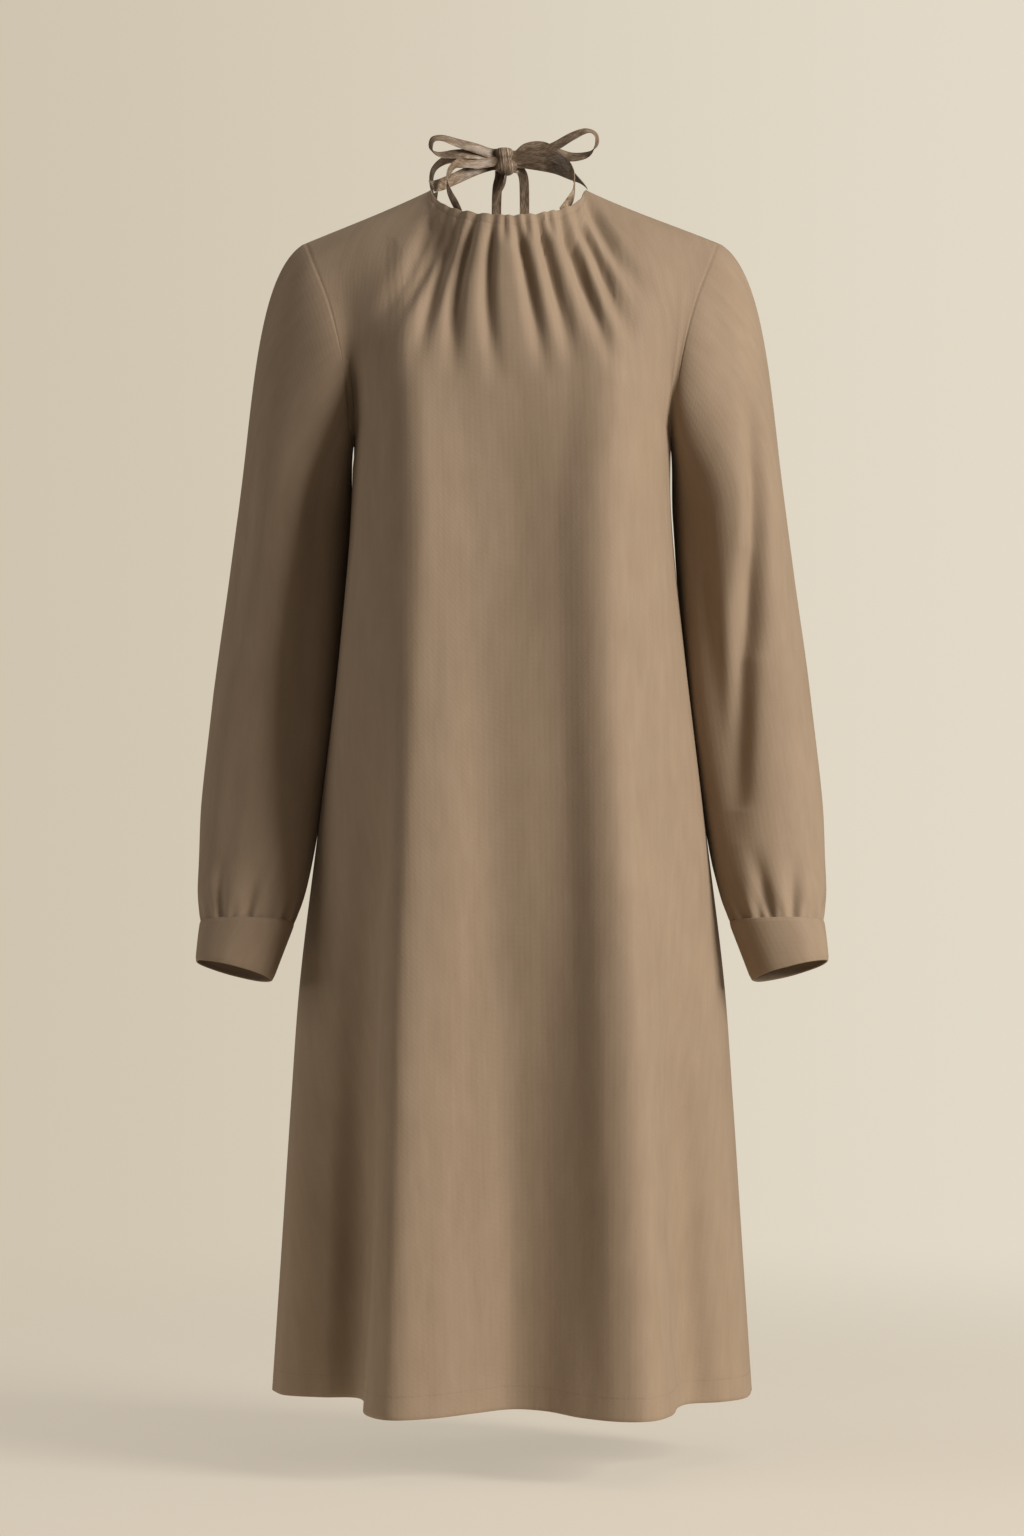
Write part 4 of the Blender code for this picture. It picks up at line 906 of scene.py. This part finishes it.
def turned_by(turn, middle):
    return (turn - middle + 180) % 360 - 180


def trough_depth(turn, z, troughs):
    """How far the long folds push a sleeve in at a place."""
    total = np.zeros(turn.shape)
    for trough in troughs:
        along = np.clip((trough.top_z - z) / (trough.top_z - trough.end_z), 0.0, 1.0)
        middle = trough.turn + (trough.end_turn - trough.turn) * along
        strength = np.sin(math.pi * along) ** TROUGH_POWER
        total += trough.depth * strength * np.exp(-(turned_by(turn, middle) / trough.width) ** 2)
    return total


def gather_depth(turn, z, gathers):
    """How far the gathers above the cuff push the sleeve in, deepest just above the seam."""
    total = np.zeros(turn.shape)
    for gather in gathers:
        along = np.clip((gather.top_z - z) / (gather.top_z - SLEEVE[-1].z), 0.0, 1.0)
        middle = gather.turn + gather.lean * (1 - along)
        width = gather.width * (1.5 - 0.5 * along)
        eased_off = GATHER_EASED * ease((along - GATHER_DEEPEST) / (1 - GATHER_DEEPEST))
        strength = ease(along / GATHER_FULL) * (1 - eased_off)
        total += gather.depth * strength * np.exp(-(turned_by(turn, middle) / width) ** 2)
    return total


def worn_tube(name, node, way, point, outward, thick):
    """A sleeve or cuff as cloth; way is 1 on the left and -1, mirrored, on the right."""
    flip = np.array((way, 1.0, 1.0))
    piece = cloth_wall(name, point * flip, outward * flip, thick, True)
    stand_for(piece, node)
    return piece


def make_sleeve(name, node, way, troughs, gathers):
    """A sleeve from the armhole to the cuff seam, with its own long folds and gathers."""
    turn, fall = np.meshgrid(np.arange(SLEEVE_COLUMNS) * 360 / SLEEVE_COLUMNS, SLEEVE_ROWS)
    point, outward = arm_surface(turn, fall)
    z = point[..., 2]
    pushed_in = trough_depth(turn, z, troughs) + gather_depth(turn, z, gathers)
    clear = ease(fall / SWELL_BELOW_ARMHOLE) * ease((1 - fall) / SWELL_ABOVE_CUFF)
    swell = unevenness(turn / 360, z, SLEEVE_SWELLS) * clear
    dip = SEAM_DIP * np.maximum(1 - ease(fall / SLEEVE_ROLL), 1 - ease((1 - fall) / SLEEVE_ROLL))
    point = point - outward * (pushed_in - swell + dip)[..., None]
    piece = worn_tube(name, node, way, point, outward, CLOTH)
    return piece


sleeve_left = make_sleeve("left_sleeve", "sleeve_left", 1, TROUGHS_LEFT, GATHERS_LEFT)
sleeve_right = make_sleeve("right_sleeve", "sleeve_right", -1, TROUGHS_RIGHT, GATHERS_RIGHT)


# Seam allowances
# Inside the dress the raw edges of the armhole, shoulder and side seams are pressed open or
# together; they show as narrow strips behind the seams.
STRIP_BEHIND = 0.0013
STRIP_THICK = 0.0006
BESIDE_ARMHOLE = 0.955
BELOW_ARMHOLE = 0.016
BELOW_SHOULDER = 0.008
BESIDE_SIDE = 0.968
ARMHOLE_MIDDLE = np.array((0.168, 0.0, -0.140))


def seam_strip(name, lines, inwards, way, around):
    """A narrow strip behind a seam, through lines on its one side, on it and on its other."""
    rows = np.array([line + inward * STRIP_BEHIND for line, inward in zip(lines, inwards)])
    flip = np.array((way, 1.0, 1.0))
    piece = cloth_wall(name, rows * flip, -np.array(inwards) * flip, STRIP_THICK, around)
    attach(piece, "root")
    return piece


def panel_lines(share, fall, flip=1):
    """A line on the front and one on the back, each with the way into the dress along it."""
    return [(panel.point(share, fall) * flip, -panel.outward(share, fall) * flip)
            for panel in (front, back)]


turn = np.arange(0, 360, 3.0)
seam = armhole_at(turn)
fall = half_turn_of(turn) / 180 * UNDERARM * YOKE_SHARE
ahead, behind = panel_lines(np.full_like(turn, BESIDE_ARMHOLE), fall)
panel_side, panel_in = [np.where((turn <= 180)[:, None], a, b) for a, b in zip(ahead, behind)]
sleeve_side, sleeve_out = arm_surface(turn, np.full_like(turn, BELOW_ARMHOLE))
share = np.linspace(NECK_SHARE, 1.0, 40)
shoulder_seam = front.point(share, 0 * share)
shoulder_front, shoulder_back = panel_lines(share, np.full_like(share, BELOW_SHOULDER))
side_fall = np.linspace(UNDERARM * YOKE_SHARE, 1.0, 90)
side_seam = front.point(np.ones(90), side_fall)
for way, side_name in ((1, "left"), (-1, "right")):
    seam_strip(side_name + "_armhole_allowance", (panel_side, seam, sleeve_side),
               (panel_in, unit(ARMHOLE_MIDDLE - seam), -sleeve_out), way, True)
    seam_strip(side_name + "_shoulder_allowance",
               (shoulder_front[0], shoulder_seam, shoulder_back[0]),
               (shoulder_front[1], 0 * shoulder_seam + (0.0, 0.0, -1.0), shoulder_back[1]), way, False)
    ahead, behind = panel_lines(np.full(90, BESIDE_SIDE * way), side_fall, (way, 1, 1))
    seam_strip(side_name + "_side_allowance", (ahead[0], side_seam, behind[0]),
               (ahead[1], 0 * side_seam + (-1.0, 0.0, 0.0), behind[1]), way, False)


# Cuffs
# Plain narrow bands of doubled crepe, sewn to the gathered sleeve ends and left open at the
# hand, with a soft turned edge.
CUFF = table(ARM,
    (-672.3, 242.8, -17, 43.6, 37.8, 1, 8), (-694, 248.8, -22, 40, 35, 8, 10),
    (-716.5, 254.5, -27, 36.6, 32.5, 14, 12),
)
CUFF_THICK = 0.0014
CUFF_COLUMNS = 120
CUFF_ROWS = spaced([(0.12, 8), (0.88, 24), (1.0, 8)])
CUFF_EDGE_ROLL = 0.0006
CUFF_ROLLED = (0.08, 0.10)
CUFF_SWELLS = [(3, 1, 0.0005), (7, -1, 0.0003)]
cuff_at = falling(CUFF)


def make_cuff(name, node, way, phase):
    """A cuff, its wall doubled cloth; phase shifts its slight unevenness."""
    turn, fall = np.meshgrid(np.arange(CUFF_COLUMNS) * 360 / CUFF_COLUMNS, CUFF_ROWS)
    z = CUFF[0].z + (CUFF[-1].z - CUFF[0].z) * fall
    point, outward = ring_point(z, cuff_at(-z), turn)
    swell = sum(height * np.sin(np.radians(times * turn) + way_round * phase)
                for times, way_round, height in CUFF_SWELLS)
    swell = swell - CUFF_EDGE_ROLL * (1 - ease(fall / CUFF_ROLLED[0]))
    swell = swell - CUFF_EDGE_ROLL * (1 - ease((1 - fall) / CUFF_ROLLED[1]))
    point = point + outward * swell[..., None]
    piece = worn_tube(name, node, way, point, outward, CUFF_THICK)
    return piece


cuff_left = make_cuff("left_cuff", "cuff_left", 1, 0.4)
cuff_right = make_cuff("right_cuff", "cuff_right", -1, 2.1)


# Ribbon
# The tie is a narrow ribbed ribbon, darker than the cloth, with a firm edge and lengthwise
# ribs; the short flecks of light on the ribs are painted highlights in its colour.
RIBBON_COLOUR = "#826e59"
RIBBON_DARK = "#5d4b3a"
# Painted highlight: the light colour of the flecks where the ribs would catch the light
RIBBON_PAINTED_HIGHLIGHT = "#b5a18a"
RIBBON_THICK = 0.0010
RIBBON_RIBS = 5
RIB_HEIGHT = 0.00022
RIBBON_ACROSS = 20
RIBBON_STEPS = 10
CUP = 0.0006
TUCK = 0.8
EDGE_SLOPE = 6
EDGE_THIN = 0.25
RIBBON_SHARP = 60
PLACE = "x:mm y:mm z:mm wide_x wide_y wide_z"
RIBBONS = {
    "neckband_right": (table(PLACE,
        (-15.8, 73.8, 34.5, 0, 0, 1), (-20, 73.8, 34.4, 0, 0, 1), (-34.6, 70, 29.3, -0.15, 0, 1),
        (-53.1, 54, 19, -0.3, 0.1, 1), (-65.5, 33, 11, -0.35, 0.2, 1),
        (-72.2, 12.5, 7, -0.4, 0.2, 0.9), (-74, 1.5, 6, -0.45, 0.1, 0.85),
    ), 0.0112),
    "neckband_left": (table(PLACE,
        (1.8, 71.8, 36.5, 0, 0, 1), (6, 71.8, 36.4, 0, 0, 1), (18, 70, 35, 0.05, 0, 1),
        (40, 62, 30, 0.1, 0.05, 1), (53, 47, 23.2, -0.1, 0.1, 1), (60, 30, 17.2, -0.45, 0.1, 0.85),
        (64.5, 13, 11, -0.6, 0.1, 0.8), (66.8, 1.5, 6.8, -0.6, 0, 0.8),
    ), 0.0112),
    "neck_ring_right": (table(PLACE,
        (-15.8, 65.5, 36.2, 0, 0, 1), (-20, 65, 35.7, 0, 0, 1), (-33, 59, 33, 0.05, 0.25, 1),
        (-44, 53, 33, 0.3, 0.6, 0.7), (-51.5, 44, 31.5, 0.45, 0.35, 0.8),
        (-57.7, 32, 23.6, 0.15, 0.25, 1), (-60, 16, 14.5, 0, 0.35, 1), (-58.9, -5, 3.5, 0, 0.4, 1),
        (-55, -27, -7.8, 0, 0.4, 1), (-50.2, -44.3, -18, 0, 0.4, 1),
        (-46.8, -57, -26.5, 0, 0.4, 1),
    ), 0.009),
    "neck_ring_left": (table(PLACE,
        (1.8, 65.5, 37.5, 0, 0, 1), (5.6, 65.2, 37.5, 0, 0, 1), (20, 60, 38.5, 0, 0, 1),
        (40, 51, 38, 0, 0.05, 1), (52, 39, 29, 0, 0.2, 1), (57, 22, 18.4, 0, 0.35, 1),
        (57.7, 4, 8.8, 0, 0.4, 1), (56.2, -22, -5.3, 0, 0.4, 1), (50.4, -40.5, -16.5, 0, 0.4, 1),
        (45.4, -52.7, -24.5, 0, 0.4, 1),
    ), 0.009),
    "bow_loop_right": (table(PLACE,
        (-15.8, 67.6, 44, 0, 0, 1), (-20, 67.4, 44.2, 0, 0, 1), (-33, 60, 47.8, 0.05, 0.1, 1),
        (-49, 55, 52, 0, 0.4, 0.9), (-64, 52, 56.6, -0.2, 0.65, 0.7),
        (-73, 52, 56, -0.35, 0.75, 0.5), (-76, 53.5, 51, -0.4, 0.8, 0.4),
        (-75, 56, 45.5, -0.35, 0.8, 0.45), (-67, 58.5, 41.5, -0.2, 0.7, 0.6),
        (-52, 60.5, 42.5, 0, 0.35, 0.9), (-35, 62.8, 43, 0.05, 0.1, 1), (-20, 69.4, 42, 0, 0, 1),
        (-15.8, 69.6, 41.5, 0, 0, 1),
    ), 0.0095),
    "bow_loop_left": (table(PLACE,
        (1.8, 67.5, 42, 0, 0, 1), (5.6, 67.3, 42, 0, 0, 1), (19, 62.5, 42.5, -0.2, 0.05, 1),
        (38, 56, 48, -0.3, 0.25, 0.9), (56, 50, 57.5, -0.35, 0.55, 0.8),
        (70, 48, 62.5, -0.2, 0.75, 0.5), (78, 50, 59, 0.2, 0.8, 0.4),
        (78.5, 53, 50, 0.4, 0.75, 0.4), (71, 56, 42, 0.2, 0.65, 0.7), (56, 60.5, 40, 0, 0.4, 0.9),
        (42, 64, 44, -0.2, 0.1, 1), (28, 66.5, 50.5, -0.15, 0.05, 1), (14, 69, 49.5, 0.25, 0, 1),
        (5.6, 69.6, 43, 0.1, 0, 1), (1.8, 69.6, 42.5, 0, 0, 1),
    ), 0.0095),
    "tail_shoulder": (table(PLACE,
        (-15.8, 71.7, 40, 0, 0, 1), (-20, 71.5, 40.2, 0, 0, 1), (-33, 66.2, 41, 0, 0, 1),
        (-52, 66.8, 40, 0, 0.15, 1), (-65, 69, 37, -0.3, 0.5, 0.8), (-74, 72, 29, -0.5, 0.8, 0.3),
        (-76, 76, 16, -0.3, 0.9, 0), (-73, 83, 2, 0.1, 0.9, 0.2), (-69, 93, -22, 0.6, 0.7, 0.3),
        (-66, 102, -60, 0.9, -0.35, 0.1), (-65, 105, -100, 0.93, -0.3, 0),
        (-65, 105.5, -140, 0.94, -0.28, 0),
    ), 0.009),
    "tail_right": (table(PLACE,
        (-11.5, 74.5, 25.9, 1, 0, 0), (-11.7, 74.7, 22.5, 1, 0, 0), (-13.8, 79.5, 13, 1, 0, 0),
        (-14.6, 85, -6, 1, 0, 0), (-14.5, 90, -40, 1, 0, 0), (-14.2, 96, -80, 1, -0.05, 0),
        (-15, 103.5, -120, 1, -0.05, 0), (-16.5, 107, -165, 1, -0.05, 0),
    ), 0.009),
    "tail_middle": (table(PLACE,
        (-6, 68, 25.9, 0.1, 1, 0), (-6, 68.2, 22.5, 0.1, 1, 0), (-7.8, 70.5, 15, 0.15, 1, 0),
        (-12.5, 71.2, 6, 0.3, 1, 0), (-15.2, 75, -8, 0.6, 0.8, 0), (-13, 83, -30, 0.85, 0.5, 0),
        (-6, 90.5, -60, 0.95, 0.2, 0), (-2, 96.5, -85, 1, 0, 0), (-1, 103.5, -120, 1, 0, 0),
        (-2, 107, -150, 1, 0, 0),
    ), 0.009),
    "tail_left": (table(PLACE,
        (1.8, 74.2, 31, 0, 0, 1), (4.6, 74.4, 30.8, 0.15, 0, 1), (8.5, 76.5, 28, 0.7, 0.1, 0.7),
        (11, 80, 21, 1, 0.1, 0.2), (11.7, 83.5, 5, 1, 0, 0), (11.8, 88.5, -30, 1, 0, 0),
        (12.5, 95.5, -75, 1, 0.05, 0), (14, 103.5, -120, 1, 0.05, 0), (16, 107, -180, 1, 0.05, 0),
    ), 0.009),
}

ribbon_finish, tree, shader = new_finish("rayon_ribbed_ribbon_satin")
place = add_node(tree, "ShaderNodeTexCoord")
along_ribs = stretched_noise(tree, place.outputs["UV"], (1.0, 0.14, 1.0), 0.7, 2.0)
patches = stretched_noise(tree, place.outputs["UV"], (1.0, 0.35, 1.0), 6.0, 2.0)
# Rib and patch noise multiplied: low values give the darker tone, high values the light flecks painted
# as highlights
tone_and_painted_highlight = add_node(tree, "ShaderNodeMath", {"operation": "MULTIPLY"},
                   links={0: along_ribs.outputs["Fac"], 1: patches.outputs["Fac"]})
three_tones(tree, shader, tone_and_painted_highlight.outputs["Value"],
            ((0.15, RIBBON_DARK), (0.26, RIBBON_COLOUR), (0.42, RIBBON_PAINTED_HIGHLIGHT)))
grain = add_node(tree, "ShaderNodeBump", values={"Strength": 0.5, "Distance": 0.00015},
                 links={"Height": along_ribs.outputs["Fac"]})
tree.links.new(grain.outputs["Normal"], shader.inputs["Normal"])
set_inputs(shader, {"Roughness": 0.48, "Sheen Weight": 0.15, "Sheen Roughness": 0.4})


def tucked(end, following):
    """An end place moved a little further into the knot."""
    return tuple(a + (a - b) * TUCK for a, b in zip(end[:3], following[:3])) + tuple(end[3:])


def closed_tube(name, points, uv, sharp):
    """A piece of ribbon from rings of points one after another, closed at both ends."""
    count, around = points.shape[:2]
    i, j = np.arange(count - 1)[:, None], np.arange(around)
    k = (j + 1) % around
    quads = np.stack([i * around + j, i * around + k, (i + 1) * around + k, (i + 1) * around + j], -1)
    quads = quads.reshape(-1, 4)
    ends = [list(range(around)), list(range((count - 1) * around, count * around))]
    uvs = np.concatenate([uv.reshape(-1, 2)[quads.ravel()], np.zeros((2 * around, 2))])
    return new_piece(name, points, quads.tolist() + ends, uvs, ribbon_finish, sharp)


def make_ribbon(name, node):
    """A flat ribbed ribbon along its places, a little cupped across, with closed ends."""
    places, width = RIBBONS[node]
    places = [tucked(places[0], places[1])] + places[1:]
    if node.startswith("bow_loop"):
        places[-1] = tucked(places[-1], places[-2])
    read = smooth_through([(i,) + tuple(row) for i, row in enumerate(places)])
    at = np.linspace(0, len(places) - 1, (len(places) - 1) * RIBBON_STEPS + 1)
    value, run = read(at), unit(read(at + 1 / 16)[:, :3] - read(at - 1 / 16)[:, :3])
    middle = value[:, :3]
    wide = unit(value[:, 3:] - run * np.sum(value[:, 3:] * run, axis=1, keepdims=True))
    thick = unit(np.cross(run, wide))
    s = np.cos(np.linspace(math.pi, 0, RIBBON_ACROSS // 2 + 1))
    rib = 0.5 + 0.5 * np.cos(RIBBON_RIBS * math.pi * s)
    thinner = np.minimum(1.0, EDGE_SLOPE * (1 - np.abs(s)) + EDGE_THIN)
    half = (RIBBON_THICK / 2 - RIB_HEIGHT * rib) * thinner
    cup = CUP * (s ** 2 - 0.4)
    out = np.concatenate([s, s[::-1]]) * width / 2
    up = np.concatenate([cup + half, (cup - half)[::-1]])
    points = middle[:, None] + wide[:, None] * out[:, None] + thick[:, None] * up[:, None]
    length = np.concatenate([[0.0], np.cumsum(np.linalg.norm(np.diff(middle, axis=0), axis=1))])
    uv = np.stack(np.broadcast_arrays(out, length[:, None]), -1)
    piece = closed_tube(name, points, uv, RIBBON_SHARP)
    stand_for(piece, node)
    return piece, middle


for node in ("neckband_left", "neckband_right", "neck_ring_left", "neck_ring_right",
             "bow_loop_left", "bow_loop_right"):
    make_ribbon(node + "_ribbon", node)
TAIL_LENGTHS = {"tail_left": 0.222, "tail_middle": 0.187, "tail_right": 0.198,
                "tail_shoulder": 0.243}
for node, length in TAIL_LENGTHS.items():
    tail, line = make_ribbon(node + "_ribbon", node)
    tuple(line[0])
    [tuple(p) for p in line]


# Knot
# The ribbon is wrapped once round the crossing and pulled tight: a rounded cap above, a waist
# where it is drawn in, and below it a fold that stands out to the wearer's left.
KNOT = table(
    "z:mm left:mm right:mm near:mm far:mm",
    (23.8, -6.4, -2.4, 66.4, 72.6), (25, -9.8, 0, 64, 75.4), (27.2, -13.4, 2.2, 62.4, 77.4),
    (30, -15.2, 4.4, 61.7, 78.4), (32.8, -15.4, 5.5, 61.5, 78.6), (35.2, -14.8, 4, 61.8, 78.5),
    (38.4, -14, 0.3, 62.8, 77.6), (41.5, -15, 0.9, 61.7, 78.5), (45.2, -15.7, 1, 61.3, 78.8),
    (47.8, -15, 0.2, 61.9, 78.2), (49.1, -13, -2, 63.8, 76.3), (49.7, -10.4, -4.8, 66.8, 73.2),
)
KNOT_COLUMNS = 96
KNOT_ROWS = 72
KNOT_SQUARE = 0.72
KNOT_RIB_PITCH = 0.0026
KNOT_RIB_DEPTH = 0.0005
KNOT_RIB_SLANT = 0.12
KNOT_MIDDLE = (-0.0072, 0.037)

level = 0.5 - 0.5 * np.cos(np.linspace(0, math.pi, KNOT_ROWS))
turn, z = np.meshgrid(np.arange(KNOT_COLUMNS) * 360 / KNOT_COLUMNS,
                      KNOT[0].z + (KNOT[-1].z - KNOT[0].z) * level)
left, right, near, far = np.moveaxis(smooth_through(KNOT)(z), -1, 0)
c, n = np.cos(np.radians(turn)), np.sin(np.radians(turn))
across, deep = [np.sign(v) * np.abs(v) ** KNOT_SQUARE for v in (c, n)]
x = (left + right) / 2 + (right - left) / 2 * across
slanted = x - KNOT_MIDDLE[0] + KNOT_RIB_SLANT * (z - KNOT_MIDDLE[1])
rib = 0.5 - 0.5 * np.cos(2 * math.pi * slanted / KNOT_RIB_PITCH)
y = (near + far) / 2 + ((far - near) / 2 - KNOT_RIB_DEPTH * (1 - rib) * np.abs(deep)) * deep
knot_points = point_of(x, y, z)
knot = closed_tube("knot_ribbon", knot_points, knot_points[..., [0, 2]], None)
stand_for(knot, "bow_knot")


# Floor and light
# A plain pale floor a little below the hem, which fades into a plain warm backdrop, and soft
# light from the right and the front.
FLOOR_Z = -1.169
# The floor is mostly lit from within, as paper on a light table, so that its shadow stays pale
FLOOR_COLOUR = "#d8cdbb"
FLOOR_SHADED = "#867f75"
FLOOR_GLOW = 0.70
FLOOR_FADE = (0.35, 2.2)
floor_mesh = bpy.data.meshes.new("floor")
shaper = bmesh.new()
bmesh.ops.create_circle(shaper, cap_ends=True, radius=9.0, segments=96)
shaper.to_mesh(floor_mesh)
shaper.free()
floor = bpy.data.objects.new("floor", floor_mesh)
floor.location = (0.0, 0.0, FLOOR_Z)
bpy.context.scene.collection.objects.link(floor)
paper, tree, shader = new_finish("matt_paper_floor")
set_inputs(shader, {"Base Color": linear(FLOOR_SHADED), "Emission Color": linear(FLOOR_COLOUR),
                    "Emission Strength": FLOOR_GLOW, "Roughness": 0.9})
place = add_node(tree, "ShaderNodeTexCoord")
distance = add_node(tree, "ShaderNodeVectorMath", {"operation": "LENGTH"},
                    links={0: place.outputs["Object"]})
fade = add_node(tree, "ShaderNodeMapRange", {"interpolation_type": "SMOOTHSTEP"},
                {"From Min": FLOOR_FADE[0], "From Max": FLOOR_FADE[1], "To Min": 1.0, "To Max": 0.0},
                {"Value": distance.outputs["Value"]})
tree.links.new(fade.outputs["Result"], shader.inputs["Alpha"])
floor_mesh.materials.append(paper)

world = bpy.data.worlds.new("studio")
bpy.context.scene.world = world
world.use_nodes = True
tree = world.node_tree
background = tree.nodes["Background"]
place = add_node(tree, "ShaderNodeTexCoord")
parts = add_node(tree, "ShaderNodeSeparateXYZ", links={"Vector": place.outputs["Generated"]})
# The backdrop is painted darker on the left and lighter on the right, as painted light from the lamps'
# side
painted_light_across = add_node(tree, "ShaderNodeMapRange", {"interpolation_type": "SMOOTHSTEP"},
                    {"From Min": -0.13, "From Max": 0.13}, {"Value": parts.outputs["X"]})
backdrop = add_node(tree, "ShaderNodeMix", {"data_type": "RGBA"},
                    {"A": linear("#cfc4af"), "B": linear("#e3dac9")},
                    {"Factor": painted_light_across.outputs["Result"]})
tree.links.new(backdrop.outputs["Result"], background.inputs["Color"])
background.inputs["Strength"].default_value = 1.0
ambient = add_node(tree, "ShaderNodeBackground", values={"Color": linear("#e8dfd0"), "Strength": 0.09})
seen = add_node(tree, "ShaderNodeLightPath")
mixed = add_node(tree, "ShaderNodeMixShader", links={0: seen.outputs["Is Camera Ray"],
                 1: ambient.outputs["Background"], 2: background.outputs["Background"]})
tree.links.new(mixed.outputs["Shader"], tree.nodes["World Output"].inputs["Surface"])

Lamp = namedtuple("Lamp", "name place aim size watts colour")
LAMPS = [
    Lamp("key", (3.0, -2.0, 0.7), (0.05, 0.0, -0.50), 1.5, 176.0, "#fffaf3"),
    Lamp("fill", (-3.0, -0.4, 0.2), (0.0, 0.0, -0.60), 1.8, 24.0, "#fff8f0"),
    Lamp("top", (0.8, -0.5, 2.5), (0.0, 0.0, -0.60), 2.4, 24.0, "#fff8f0"),
]
for lamp in LAMPS:
    light = bpy.data.lights.new(lamp.name, "AREA")
    light.size = lamp.size
    light.energy = lamp.watts
    light.color = linear(lamp.colour)[:3]
    stand = bpy.data.objects.new(lamp.name, light)
    stand.location = lamp.place
    stand.rotation_euler = (Vector(lamp.aim) - Vector(lamp.place)).to_track_quat("-Z", "Y").to_euler()
    bpy.context.scene.collection.objects.link(stand)
bpy.context.scene.view_settings.view_transform = "Standard"
